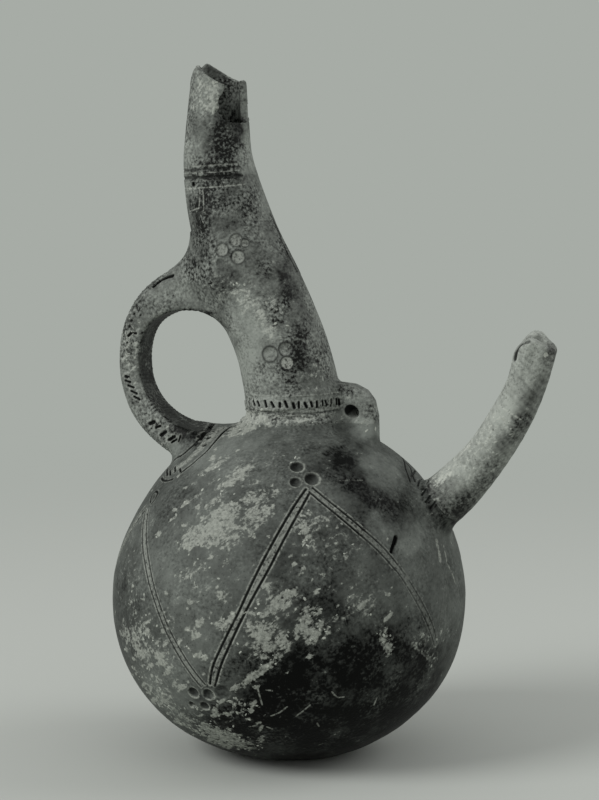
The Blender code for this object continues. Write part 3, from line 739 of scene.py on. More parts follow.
skinMesh = makeSkin()
skinPlaces = readPlaces(skinMesh)
clayTree = BVHTree.FromPolygons(skinPlaces.tolist(), [tuple(face.vertices) for face in skinMesh.polygons])


# Incised and impressed ornament, and damage

lookKeys = ("tone", "lime", "chalk", "dark", "light")
grooves = []
stamps = []


def denser(path, step):
    # More points along a path.
    path = np.asarray(path, float)
    lengths = np.concatenate(([0.0], np.cumsum(np.linalg.norm(np.diff(path, axis=0), axis=1))))
    wanted = np.linspace(0.0, lengths[-1], max(2, int(lengths[-1] / step) + 1))
    return np.stack([np.interp(wanted, lengths, path[:, axis]) for axis in range(3)], axis=1)


def laidOn(path):
    return np.array([tuple(clayTree.find_nearest(Vector(point))[0]) for point in path])


def addGroove(path, width, depth, chalk=0.0, dark=1.0, light=0.0, lip=0.0):
    # chalk whitens its shoulders, dark paints shade into its bed, light fills the bed with lime.
    grooves.append({
        "path": laidOn(denser(path, 2.5)), "half": width / 2.0, "depth": depth,
        "chalk": chalk, "dark": dark, "light": light, "lip": lip,
    })


# A dent: rim whitens its edge with lime, brighter on the lower right as a painted highlight, or paints shade
# round its edge when negative; dark paints shade inside it, most on its upper left; light fills it with lime.
def addStamp(place, radius, depth, rim=0.5, light=0.0, dark=0.5):
    stamps.append({
        "place": laidOn(np.asarray(place, float).reshape(1, 3))[0], "radius": radius, "depth": depth,
        "rim": rim, "light": light, "dark": dark,
    })


def addPair(path, apart, width, depth, **looks):
    # Two parallel grooves either side of a path on the clay.
    path = np.asarray(path, float)
    ahead = np.gradient(path, axis=0)
    ahead /= np.linalg.norm(ahead, axis=1)[:, None]
    beside = np.cross(ahead, path - (0.0, 0.0, belly["widest"]))
    beside /= np.linalg.norm(beside, axis=1)[:, None]
    addGroove(path, apart * 0.5, 0.0, dark=0.0, light=0.5 * looks["chalk"])
    addGroove(path - beside * (apart / 2.0), width, depth, **looks)
    addGroove(path + beside * (apart / 2.0), width, depth, **looks)


def addArm(left, right, looks):
    # A double groove seen in the photograph, with a pale band between its two lines.
    left, right = denser(seen(*left), 6.0), denser(seen(*right), 6.0)
    steps = np.linspace(0.0, 1.0, 12)
    sides = []
    for path in (left, right):
        shares = np.linspace(0.0, 1.0, len(path))
        sides.append(np.stack([np.interp(steps, shares, path[:, axis]) for axis in range(3)], axis=1))
    between = (sides[0] + sides[1]) / 2.0
    apart = float(np.linalg.norm(sides[0] - sides[1], axis=1).mean())
    addGroove(between, apart * 0.4, 0.0, dark=0.0, light=0.6 * looks["chalk"])
    addGroove(left, **looks)
    addGroove(right, **looks)


def bellyOrnament():
    arm = {"width": 1.25, "depth": 0.65, "chalk": 1.0, "dark": 0.9, "lip": 0.15}
    addArm(
        ((306, 489), (298, 500), (259, 569), (239, 612), (212, 668), (210, 684)),
        ((309, 494), (303, 505), (269, 569), (248, 607), (221, 665), (215, 686)),
        arm,
    )
    addArm(
        ((313, 488), (327, 500), (350, 518), (365, 531)),
        ((309.5, 492), (322.5, 503.5), (346, 522.5), (361, 535.5)),
        dict(arm, width=1.1, dark=0.8, chalk=0.8),
    )
    worn = dict(arm, width=1.0, depth=0.4, chalk=0.55, dark=0.5)
    addArm(((365, 531), (384, 548), (402, 570)), ((361, 535.5), (379.5, 552), (396.5, 571)), worn)
    faint = dict(arm, width=0.9, depth=0.3, chalk=0.35, dark=0.2)
    addArm(
        ((402, 570), (414.5, 589), (425, 608), (433.5, 628), (437, 643)),
        ((396.8, 571), (410, 591), (421, 611), (429.5, 631), (434, 645)),
        faint,
    )
    pale = dict(arm, depth=0.4, width=0.95, chalk=0.9, dark=0.65)
    addArm(
        ((145, 509), (142.7, 522), (142.5, 544), (146.5, 572), (154.5, 601), (167.5, 635), (201, 687)),
        ((148, 509), (146.3, 522), (146.7, 544), (151, 573), (159, 603), (172, 635), (205, 684.5)),
        pale,
    )
    for azimuths, heights in (
        ((16, 42), (120, 60)),
        ((42, 70), (60, 148)),
        ((70, 102), (148, 52)),
        ((102, 142), (52, 147)),
        ((142, 178), (147, 55)),
        ((178, 217), (55, 139)),
    ):
        line = onBelly(np.linspace(*azimuths, 24), np.linspace(*heights, 24))
        addPair(line, 4.6, **arm)
    for x, y, radius in ((296.8, 466.5, 3.7), (295.5, 482, 3.1), (312, 478.8, 4.0)):
        addStamp(seen((x, y)), radius, 1.9, rim=0.85, dark=0.9)
    for x, y, radius in ((193.5, 692.5, 3.2), (208.3, 694.5, 3.3), (204.6, 706, 2.7), (192.2, 704.5, 2.2)):
        addStamp(seen((x, y)), radius, 1.4, rim=1.25, dark=0.8)
    addStamp(seen((222, 692)), 4.4, 0.3, rim=0.15, dark=0.5)
    for azimuth in (70, 142):
        for turn, rise in ((-4, 10), (3, 11), (-0.5, 17)):
            addStamp(onBelly(azimuth + turn, 149 + rise), 3.4, 1.1, rim=0.6)
    for azimuth in (42, 102, 178):
        for turn, rise in ((-3, -6), (3, -6), (0, -13)):
            addStamp(onBelly(azimuth + turn, 55 + rise), 3.1, 0.9, rim=0.8)
    # Small pale strokes and dents near the right edge
    for stroke, width, light in (
        (((437, 541), (438, 547)), 2.6, 0.75),
        (((439.5, 552), (440.5, 560)), 2.8, 0.85),
        (((444, 546), (447, 562), (455, 582)), 1.5, 0.75),
    ):
        addGroove(seen(*stroke), width, 0.4, dark=0.0, light=light)
    for bottom in ((442, 610), (437, 640)), ((446, 612), (444, 642)), ((450, 600), (450, 636)):
        addGroove(seen((446, 575), *bottom), 0.9, 0.2, dark=0.1, light=0.2)
    addStamp(seen((421, 644)), 3.2, 0.4, rim=0.45, dark=0.1)
    addStamp(seen((434, 657)), 2.8, 0.4, rim=0.3, dark=0.1)
    addGroove(seen((428, 640), (421, 652), (432, 662)), 1.2, 0.3, dark=0.2, light=0.4)
    # The gouge, grooves above it and the strokes round the spout's root
    addGroove(seen((396, 537.5), (394.5, 543)), 2.7, 1.8, dark=1.0)
    addGroove(seen((393.5, 545), (391.5, 551.5)), 2.2, 1.6, dark=1.0)
    addGroove(seen((396.5, 560), (402, 573), (409, 579)), 1.0, 0.3, dark=0.0, light=0.5)
    for dx in (0.0, 5.0):
        addGroove(seen((402 + dx, 458), (405 + dx, 468), (410 + dx, 482)), 1.3, 0.5, dark=0.9)
    for x, y in ((413, 474), (420, 483), (424, 492), (428, 499), (433, 505)):
        addGroove(seen((x + 2.0, y - 3.0), (x - 2.0, y + 3.0)), 1.2, 0.6, dark=0.85)
    addGroove(seen((340, 480.5), (362, 480.5)), 0.9, 0.2, dark=0.1, light=0.4)
    for scratch in (
        ((257, 686), (262, 705)),
        ((271, 716), (279, 713), (287, 707)),
        ((296, 716), (303, 711), (310, 705)),
        ((332, 692), (337, 698), (344, 697)),
        ((266, 690), (272, 691)),
        ((267, 727), (272, 729)),
        ((249, 727), (255, 726)),
        ((243, 748), (257, 749)),
        ((317, 723), (319, 726)),
        ((374, 705), (377, 698)),
    ):
        addGroove(seen(*scratch), 0.8, 0.1, dark=0.0, light=0.85)
    # Painted shade in a small pit
    addStamp(seen((409, 619)), 1.0, 0.8, rim=0.0, dark=1.0)
    # Painted shade where the lug's hole shows: a dark disc on the clay behind it
    addStamp(seen((351.5, 409.5)), 4.3, 0.0, rim=0.35, dark=1.8)
    # Spout: painted shade in the hollow at its tip, a white chip there, a scratch along its side
    addGroove(seen((514.5, 357), (516.5, 350.5), (520, 346)), 4.8, 1.3, dark=0.95)
    addGroove(seen((519, 347.5), (523, 344), (528, 341.5)), 3.0, 0.9, dark=0.7)
    addStamp(seen((546, 355)), 1.5, 0.3, rim=0.0, light=1.0, dark=0.0)
    addGroove(seen((503, 408), (513, 414.5), (523, 421)), 0.8, 0.1, dark=0.0, light=0.7)


def neckOrnament():
    whole = np.linspace(-328, -34, 61)
    for rise, width, depth, dark, light in (
        (140.6, 0.6, 0.12, 0.0, 0.4),
        (138.9, 1.2, 0.3, 0.6, 0.0),
        (137.2, 0.6, 0.12, 0.0, 0.5),
        (134.4, 1.6, 0.4, 0.7, 0.0),
        (132.4, 0.6, 0.12, 0.0, 0.3),
        (129.2, 0.8, 0.2, 0.0, 0.7),
    ):
        wobble = 0.25 * np.sin(np.radians(whole * 2 + rise * 40)) + 0.012 * (whole + 85)
        addGroove(onNeck(whole, rise + wobble), width, depth, dark=dark, light=light)
    for stroke in (((199.5, 188), (200, 197), (199, 206)), ((202.5, 188), (203.5, 198), (203.5, 210))):
        addGroove(seen(*stroke), 0.8, 0.2, dark=0.0, light=0.7)
    addGroove(seen((189, 211.5), (193, 210), (199, 208)), 0.8, 0.2, dark=0.0, light=0.7)
    addGroove(seen((189, 189), (196, 187)), 0.8, 0.2, dark=0.0, light=0.7)
    # Painted shade in a small deep pit
    addStamp(seen((193, 184.5)), 1.5, 2.2, rim=0.0, dark=1.6)
    for dx in (-0.5, 4.0):
        line = ((270 + dx, 212), (277 + dx, 228), (286 + dx, 250), (297 + dx, 271))
        addGroove(seen(*line), 1.3, 0.7, dark=1.0, lip=0.2)
    for x, y, radius in ((222, 250, 3.1), (236, 240, 3.0), (245, 243, 1.9), (238, 257, 3.3)):
        addStamp(seen((x, y)), radius + 0.2, 0.6, rim=-0.6, light=0.5, dark=0.0)
    addStamp(seen((220, 263)), 2.6, 0.5, rim=0.0, dark=0.6)
    for x, y, radius, depth, rim, light, dark in (
        (270, 354, 3.9, 0.75, -0.75, 0.12, 0.05),
        (286, 349, 3.6, 0.9, -0.8, 0.1, 0.15),
        (287, 363, 3.4, 0.6, -0.7, 0.85, 0.0),
    ):
        addStamp(seen((x, y)), radius, depth, rim=rim, light=light, dark=dark)
    for turn, rise in ((35, 96), (48, 100), (42, 90), (150, 42), (163, 38), (155, 34)):
        addStamp(onNeck(turn, rise), 3.1, 0.5, rim=-0.5, light=0.4, dark=0.0)
    # Collar: a line above and below a row of slashes, and flaky clay where it is luted on
    around = np.linspace(-180, 180, 73)
    for rise, sway, waves, width, depth, dark, light in (
        (17.2, 0.5, 1, 0.8, -0.2, 0.0, 0.35),
        (9.6, 0.3, 3, 0.9, -0.25, 0.0, 0.45),
        (8.2, 0.4, 3, 0.9, 0.35, 0.45, 0.0),
    ):
        path = onNeck(around, rise + sway * np.cos(np.radians(around * waves)))
        addGroove(path, width, depth, dark=dark, light=light)
    turns = [-125, -117, -106, -97, -88, -80.5, -72, -66, -58, -51, -44, -36, -30.5, -22, -12, -3, 24, 34]
    turns += list(range(44, 226, 10))
    for turn in turns:
        lean = chance.uniform(-0.6, 2.2)
        low = 11.4 + chance.uniform(-0.4, 0.5)
        tall = chance.uniform(1.9, 3.1)
        path = onNeck(np.array([turn + lean / 2, turn - lean / 2]), np.array([low, low + tall]))
        addGroove(path, chance.uniform(1.1, 1.7), 1.0, dark=1.0, chalk=0.35, lip=0.2)
    for turn, rise, span in (
        (-96, 7.6, 9), (-88, 6.1, 13), (-74, 7.2, 10), (-63, 5.9, 12), (-55, 7.5, 8), (-79, 4.9, 8),
    ):
        path = onNeck(np.linspace(turn - span, turn + span, 7), rise + 0.5 * np.sin(np.linspace(0, 5, 7)))
        addGroove(path, 0.9, 0.35, chalk=0.6, dark=0.35)


def handleOrnament():
    # Notches: where each starts and ends on the strap, and its width in mm
    for start, end, wide in (
        ((125.5, 376.5), (128.5, 377.5), 1.8),
        ((125, 380.5), (130, 382), 1.3),
        ((128, 385.5), (133.5, 387.5), 1.2),
        ((131, 391), (136.5, 393.5), 1.2),
        ((134, 396.5), (139.5, 399.5), 1.2),
        ((149.5, 423.5), (153.5, 422), 2.2),
        ((155.5, 427.5), (159.5, 426), 1.4),
        ((160.5, 435.5), (165, 432), 2.0),
        ((168.5, 440), (174, 436.5), 1.8),
        ((171, 442.5), (176, 439), 1.2),
        ((178, 441), (180, 436), 1.2),
        ((128, 336), (131, 333), 1.5),
        ((131, 333), (136, 333.5), 1.2),
    ):
        addGroove(seen(start, end), wide, 1.0, dark=1.0, chalk=0.35)
    for x, y, size in (
        (134, 314, 0.8), (140.5, 315.5, 0.7), (131.5, 321, 1.1),
        (129.5, 327, 1.0), (127, 343, 0.8), (131, 344, 0.6),
    ):
        addStamp(seen((x, y)), size, 0.8, rim=0.0, dark=0.95)
    # Painted shadow line: a groove under the strap's top, above its hole, painted dark
    shadowLineGroove = ((153.5, 286), (157.5, 282.5), (162, 279), (167, 276.8), (172.5, 275.5))
    addGroove(seen(*shadowLineGroove), 2.1, 1.4, dark=1.0)
    # Band round the handle's root: a groove each side, dots and slashes between
    addGroove(
        seen((221, 422), (213, 434), (204, 444), (195, 453), (186, 461), (175, 468)), 6.0, -0.6,
        dark=0.0, light=0.75,
    )
    addGroove(seen((213, 423.5), (208, 431), (200.5, 438)), 2.6, 1.2, dark=1.0, chalk=0.4)
    addGroove(seen((203, 435.5), (194, 444), (182.5, 454), (171, 462)), 1.2, 0.8, dark=0.9, chalk=0.4)
    addGroove(
        seen((230, 419), (221, 434), (207.5, 449.5), (199, 457), (191, 464), (181, 471.5)),
        1.5, 1.0, dark=1.0, chalk=0.6,
    )
    for x, y, size in (
        (219, 426, 1.0), (214, 431, 1.3), (208.5, 438, 1.5), (204.5, 445, 1.5), (224, 422, 0.9),
    ):
        addStamp(seen((x, y)), size, 0.9, rim=0.4, dark=0.95)
    for stroke in (
        ((166, 467.5), (166.3, 474.5)),
        ((169, 469.5), (169.5, 474.5)),
        ((174, 466), (174.3, 471)),
        ((179, 467.5), (180, 471)),
        ((166, 463.5), (165, 465.5)),
        ((160, 476.5), (162, 479.5), (166, 480)),
        ((167, 480), (172, 478.5)),
        ((149.5, 502), (150, 495), (154, 490.5), (157, 491), (155.5, 497), (151, 503)),
        ((141, 513), (145, 506)),
    ):
        addGroove(seen(*stroke), 1.25, 0.8, dark=0.95, chalk=0.4)
    for turn in np.linspace(-62, 62, 11):
        side = math.radians(187.0 + 34.0 * math.sin(math.radians(turn)))
        spot = onBelly(math.degrees(side), 166.0 + 9.0 * math.cos(math.radians(turn)))
        addStamp(spot, 1.1, 0.5, rim=0.0, dark=0.5)


bellyOrnament()
neckOrnament()
handleOrnament()
print(f"ornament: {len(grooves)} grooves and {len(stamps)} impressions")


def refineNear(mesh, places, reach):
    # Faces near ornament are cut in four.
    near = np.zeros(len(places), bool)
    if reach > 1.0:
        near |= (spoutField(places) < 3.0) & (places[:, 0] > 92.0)
        near |= (strapField(places) < 2.0) & (places[:, 0] < -40.0)
        near |= places[:, 2] > split["beakFoot"] - 10.0
    for groove in grooves:
        near |= pathGap(places, groove["path"], reach) < reach + groove["half"] * 0.6
    for stamp in stamps:
        gap = np.linalg.norm(places - stamp["place"], axis=1)
        near |= gap < stamp["radius"] + reach
    shape = bmesh.new()
    shape.from_mesh(mesh)
    shape.verts.ensure_lookup_table()
    faces = [face for face in shape.faces if any(near[v.index] for v in face.verts)]
    edges = list({edge for face in faces for edge in face.edges})
    bmesh.ops.subdivide_edges(shape, edges=edges, cuts=1, use_grid_fill=True)
    bmesh.ops.triangulate(shape, faces=[face for face in shape.faces if len(face.verts) > 4])
    shape.to_mesh(mesh)
    shape.free()


def pathGap(places, path, reach):
    # Distance from places to a path, measured only within reach of it.
    gap = np.full(len(places), 99.0)
    low, high = path.min(0) - reach, path.max(0) + reach
    close = np.nonzero(np.all((places > low) & (places < high), axis=1))[0]
    if len(close) == 0:
        return gap
    best = np.full(len(close), 99.0)
    for start, end in zip(path, path[1:]):
        run = end - start
        share = np.clip((places[close] - start) @ run / max(run @ run, 1e-9), 0.0, 1.0)
        best = np.minimum(best, np.linalg.norm(places[close] - start - share[:, None] * run, axis=1))
    gap[close] = best
    return gap


def ornamentOf(places):
    # Relief in mm and the looks of every place: groove bed, chalked shoulder, painted shade in beds and
    # dents, and lime.
    relief = np.zeros(len(places))
    looks = {key: np.zeros(len(places)) for key in ("chalk", "dark", "light")}
    for groove in grooves:
        reach = groove["half"] * 4.0 + 1.0
        gap = pathGap(places, groove["path"], reach) / groove["half"]
        near = gap < 4.0
        depth = groove["depth"] * np.clip(1.0 - gap[near] ** 2 / 1.3, 0.0, 1.0)
        lip = groove["lip"] * np.exp(-((gap[near] - 1.9) / 0.6) ** 2)
        relief[near] = np.minimum(relief[near], 0.0) * (gap[near] > 1.0) - depth + lip
        shoulder = np.exp(-((gap[near] - 1.75) / 0.65) ** 2)
        core = smoothStep((1.25 - gap[near]) / 0.5)
        looks["chalk"][near] = np.maximum(looks["chalk"][near] * (1.0 - core), groove["chalk"] * shoulder)
        # Painted shade in the groove's bed
        looks["dark"][near] = np.maximum(looks["dark"][near], groove["dark"] * core)
        looks["light"][near] = np.maximum(looks["light"][near], groove["light"] * core)
    for stamp in stamps:
        gap = np.linalg.norm(places - stamp["place"], axis=1) / stamp["radius"]
        near = gap < 1.9
        bowl = np.clip(1.0 - gap[near] ** 2, 0.0, 1.0) ** 0.6
        relief[near] = np.where(gap[near] < 1.1, 0.0, relief[near]) - stamp["depth"] * bowl
        relief[near] += 0.12 * np.exp(-((gap[near] - 1.18) / 0.16) ** 2)
        inside = smoothStep((1.05 - gap[near]) / 0.2)
        ring = np.exp(-((gap[near] - 1.1) / 0.16) ** 2)
        # Painted light in each dent: the rim's lime is brighter on its lower right (painted highlight), and
        # its inside is darker on its upper left (painted shade)
        lean = (places[near] - stamp["place"]) @ awayFromLamp / stamp["radius"]
        ring = ring * np.clip(0.72 + 0.4 * lean, 0.0, 1.0) if stamp["rim"] > 0.0 else ring
        shaded = inside * np.clip(0.62 - 0.75 * lean, 0.1, 1.0)
        chalk = looks["chalk"][near] * (1.0 - inside)
        looks["chalk"][near] = np.maximum(chalk, max(stamp["rim"], 0.0) * ring)
        dark = looks["dark"][near] * (1.0 - inside) + stamp["dark"] * shaded
        looks["dark"][near] = np.maximum(dark, max(-stamp["rim"], 0.0) * ring)
        looks["light"][near] = looks["light"][near] * (1.0 - inside) + stamp["light"] * inside
    return relief, looks


def refineSkin(mesh, places):
    for reach in fineness["reaches"]:
        refineNear(mesh, places, reach)
        places = evened(mesh, readPlaces(mesh), 1, 0.3)
    places = pulledOn(places, 1)
    print(f"skin: {len(mesh.vertices)} vertices refined")
    slope = slopeOf(clayField, places, 0.3)[1]
    slope /= np.maximum(np.linalg.norm(slope, axis=1), 0.3)[:, None]
    relief, looks = ornamentOf(places)
    writePlaces(mesh, places + slope * (relief + handWork(places))[:, None])
    return places, looks


skinPlaces, skinLooks = refineSkin(skinMesh, skinPlaces)


# Tone and lime: how worn the slip is, where shade and a reflection are painted, and where pale lime has
# settled, painted region by region

# How bare of slip each member is, and what is added there: a darkening under the spout, the tone at its root,
# its wiped streaks, the fire clouds of the near and the far side, and painted shade inside strap and mouth
tones = {
    "belly": 0.39,
    "neck": 0.5,
    "beak": 0.45,
    "handle": 0.45,
    "spout": 0.88,
    "lug": 0.46,
    "spoutUnder": -0.34,
    "spoutRoot": 0.2,
    "streaks": 0.07,
    "blotches": 0.12,
    "cloud": 0.1,
    "farCloud": 0.3,
    "farSide": -0.08,
    "strapInsideShade": -0.5,
    "mouthShade": -0.3,
}

# Each spot: pixel of its middle, half width and half height in mm, turn in degrees, amount
toneSpots = (
    # Belly: smooth grey zone, dark fired zone low on the right, cloudy upper right, rubbed left
    (195, 597, 20, 20, 0, 0.12),
    (352, 700, 56, 30, 8, -0.75),
    (300, 738, 45, 20, 0, -0.45),
    (340, 755, 60, 8, 0, -0.5),
    (400, 725, 30, 12, 30, -0.4),
    (415, 695, 24, 30, 0, -0.25),
    (290, 600, 26, 40, 0, -0.12),
    (345, 575, 26, 26, 0, -0.07),
    (362, 492, 14, 5, -30, -0.16),
    (400, 505, 10, 8, 0, -0.16),
    (425, 590, 8, 20, -10, -0.08),
    (372, 505, 20, 20, 0, -0.16),
    (345, 462, 12, 9, 0, -0.14),
    (218, 452, 20, 14, 10, 0.34),
    (172, 695, 18, 28, -35, 0.3),
    (150, 680, 10, 16, -25, 0.06),
    (255, 735, 20, 10, 0, 0.1),
    (250, 690, 18, 10, 0, 0.12),
    (205, 531, 22, 14, 10, 0.12),
    (121, 590, 5, 40, 0, -0.1),
    # Neck: darker down its right side, dark band round the bend, pale lower left; painted core shade down the
    # beak's front at (222, 148), (233, 125) and (232, 140), and a painted reflection along its right edge at
    # (245, 150)
    (283, 250, 7, 22, -24, -0.2),
    (287, 285, 8, 16, -15, -0.34),
    (299, 360, 6, 16, -8, -0.42),
    (225, 281, 7, 6, 0, -0.4),
    (212, 288, 10, 4, -25, -0.2),
    (222, 148, 9, 19, 0, -0.52),
    (233, 125, 9, 5, 0, -0.3),
    (201, 222, 7, 24, 0, -0.34),
    (232, 140, 4, 16, 0, -0.25),
    (212, 176, 16, 4, 0, -0.2),
    (222, 210, 17, 14, 0, -0.34),
    (262, 205, 4, 20, -20, 0.12),
    (245, 150, 3, 20, 0, 0.3),
    (192, 150, 4, 20, 0, -0.06),
    (205, 92, 9, 16, 0, 0.36),
    (196, 120, 5, 8, 0, -0.1),
    (236, 106, 6, 8, 0, 0.4),
    (248, 350, 11, 30, -10, 0.42),
    (245, 303, 14, 10, -30, 0.12),
    (236, 320, 6, 10, -20, 0.12),
    (296, 305, 7, 12, -20, 0.05),
    (313, 340, 4, 22, -15, 0.16),
    (290, 402, 30, 5, 0, 0.2),
    (366, 429, 7, 5, 30, 0.32),
    (363, 405, 5, 8, 0, 0.1),
    # Handle: pale top and root, painted shade in the crotch under it
    (170, 293, 14, 6, 0, 0.25),
    (127, 350, 4, 24, 0, -0.04),
    (170, 449, 6, 7, 0, 0.45),
    (192, 418, 11, 6, -20, -0.5),
    (180, 432, 8, 6, -30, -0.1),
    # Spout: darker along its under side and at its root, smudge at the tip
    (468, 503, 11, 7, 45, -0.3),
    (449, 490, 7, 7, 0, -0.2),
    (440, 478, 4, 2, 40, 0.3),
    (452, 470, 6, 2, 40, 0.35),
    (437, 465, 5, 2, 40, -0.2),
    (490, 400, 4, 20, -30, 0.15),
    (551, 352, 2.6, 5, -10, -0.35),
    (500, 450, 5, 24, -42, -0.3),
    (520, 415, 4, 16, -30, -0.25),
)

# Patches where the dark slip is rubbed thin, with a sharp edge
rubbedSpots = (
    (367, 426, 8, 5, -30, 0.42),
    (381, 474, 12, 8, -35, 0.3),
    (366, 464, 6, 4, 20, 0.14),
    (389, 492, 6, 3, -40, 0.14),
    (378, 527, 5, 8, 20, 0.26),
    (391, 530, 7, 4, -35, 0.16),
    (413, 541, 7, 9, -30, 0.3),
    (422, 528, 4, 5, 0, 0.12),
    (438, 592, 4, 10, -15, 0.1),
    (427, 640, 7, 7, 0, 0.14),
    (408, 478, 4, 9, 25, -0.14),
    (340, 455, 10, 4, 0, -0.12),
    (255, 585, 10, 8, 30, 0.08),
    (190, 590, 15, 14, 30, 0.07),
    (150, 570, 6, 16, -10, 0.08),
    (223, 570, 9, 4, 20, -0.1),
    (176, 626, 8, 6, -20, -0.1),
    (133, 610, 5, 9, -20, -0.1),
    (243, 655, 8, 4, 40, -0.1),
    (360, 560, 6, 9, 0, 0.08),
    (310, 575, 7, 9, 20, 0.07),
    (412, 590, 7, 11, -20, 0.08),
    (300, 445, 12, 3, 0, -0.08),
    (258, 438, 10, 4, 10, 0.08),
)

# Where lime has settled, in the same six numbers
limeSpots = (
    # Belly: the broad rubbed zone on the left, with strokes above and below it
    (202, 531, 13, 7, 15, 0.6),
    (221, 517, 10, 5, 38, 0.6),
    (243, 522, 12, 7, 18, 0.55),
    (262, 508, 9, 6, 38, 0.5),
    (187, 546, 7, 4, 0, 0.5),
    (226, 541, 9, 4, 10, 0.55),
    (244, 500, 12, 3, 20, 0.4),
    (213, 467, 8, 2, 30, 0.85),
    (231, 482, 5, 2, 30, 0.85),
    (240, 474, 9, 3, 30, 0.55),
    (186, 503, 4, 1.6, 35, 0.85),
    (215, 502, 4, 1.6, 35, 0.85),
    (192, 571, 9, 4, 30, 0.5),
    (221, 596, 2.6, 2, 35, 1.1),
    (200, 622, 3.5, 2, 35, 1.0),
    (195, 634, 2.6, 2.4, 35, 1.0),
    (160, 657, 2.6, 2.2, 35, 1.0),
    (140, 655, 2.8, 2.4, 35, 1.15),
    (128, 634, 5, 6, 35, 0.5),
    (366, 427, 8, 5, -30, 0.34),
    (226, 623, 6, 4, 35, 0.75),
    (207, 588, 26, 10, 30, 0.2),
    # Belly: between the arms and right of them, low on the left, and up by the collar
    (303, 524, 12, 6, 20, 0.55),
    (330, 545, 16, 12, 10, 0.3),
    (291, 592, 3.6, 2.2, 20, 1.2),
    (278, 602, 5, 3, 35, 0.9),
    (284, 641, 2.4, 3, 35, 1.3),
    (258, 630, 6, 6, 35, 0.65),
    (265, 650, 9, 5, 35, 0.7),
    (312, 632, 8, 6, 30, 0.62),
    (309, 612, 5, 5, 30, 0.6),
    (255, 676, 16, 2.4, 38, 1.0),
    (356, 609, 14, 8, 20, 0.5),
    (385, 633, 3.5, 4, 0, 0.95),
    (388, 649, 3.6, 4.6, 0, 0.95),
    (222, 733, 10, 4, 10, 0.46),
    (196, 722, 20, 9, -35, 0.42),
    (160, 692, 12, 12, -35, 0.46),
    (215, 738, 20, 6, -15, 0.32),
    (150, 640, 12, 16, 0, 0.34),
    (352, 706, 48, 26, 8, -0.4),
    (345, 745, 40, 9, 0, -0.3),
    (250, 742, 16, 5, 5, 0.5),
    (240, 708, 14, 5, 20, 0.5),
    (276, 620, 22, 18, 20, 0.3),
    (428, 646, 9, 10, 30, 0.45),
    (130, 590, 9, 45, 0, 0.2),
    (255, 470, 34, 14, 20, 0.22),
    (245, 418, 4, 7, 40, 1.1),
    (233, 430, 7, 3, 40, 0.75),
    (247, 427, 6, 4, 40, 0.6),
    # Neck and beak: flecky below the circles, smooth and pale at its lower left
    (246, 300, 15, 9, -30, 0.5),
    (268, 322, 9, 9, -30, 0.4),
    (316, 372, 5, 11, 0, 0.5),
    (206, 93, 8, 13, 0, 0.62),
    (214, 104, 4, 7, 0, 0.45),
    (209, 68, 7, 3, 0, 0.5),
    (290, 418, 26, 4, 0, 0.6),
    (262, 419, 10, 5, 0, 0.3),
    # Handle's root and spout
    (168, 450, 4, 6, 0, 0.75),
    (130, 345, 5, 16, 0, 0.35),
    (480, 440, 10, 22, -40, 0.4),
    (444, 476, 7, 2, 40, 0.6),
    # Little between the circles at the arms' foot
    (200, 700, 13, 7, 0, -0.7),
)

# Loose flecks of lime: where they lie (middle, half width, half height in pixels) and how many
fleckFields = (
    ((163, 668), (44, 64), 70),
    ((215, 712), (60, 34), 54),
    ((240, 590), (80, 70), 44),
    ((320, 590), (60, 56), 26),
    ((215, 505), (64, 46), 30),
)


fleckSeed = 73


def limeFlecks():
    draw = np.random.default_rng(fleckSeed)
    flecks = []
    for middle, reach, count in fleckFields:
        for _ in range(count):
            x, y = np.clip(draw.normal(0.0, 0.6, 2), -1.2, 1.2) * reach + middle
            size = draw.uniform(0.5, 1.3)
            turn = draw.uniform(10.0, 60.0)
            flecks.append((x, y, size * draw.uniform(1.0, 2.4), size, turn, draw.uniform(0.7, 1.2)))
    return flecks


def spotted(places, spots, edge=1.3):
    # A higher edge gives patches a flatter middle and a sharper outline.
    total = np.zeros(len(places))
    ragged = [1.4 * roughness(places, 6.0, seed) + 0.5 * cellNoise(places, 2.2, seed) for seed in (41, 45)]
    middles = seen(*[spot[:2] for spot in spots])
    for middle, (_, _, wide, tall, turn, amount) in zip(middles, spots):
        reach = 2.4 * max(wide, tall) + 6.0
        beside = np.abs(places[:, 0] - middle[0])
        above = np.abs(places[:, 2] - middle[2])
        close = np.flatnonzero((beside < reach) & (above < reach))
        gap = places[close] - middle
        turn = math.radians(turn)
        stray = 0.42 * min(wide, tall, 9.0)
        across = gap @ viewRight + stray * ragged[0][close]
        up = gap @ viewUp + stray * ragged[1][close]
        u = (across * math.cos(turn) + up * math.sin(turn)) / wide
        v = (up * math.cos(turn) - across * math.sin(turn)) / tall
        near = np.clip(1.0 - np.maximum(gap @ viewAhead - 14.0, 0.0) / 12.0, 0.0, 1.0)
        total[close] += amount * near * np.exp(-((u * u + v * v) ** edge) * 0.9)
    return total


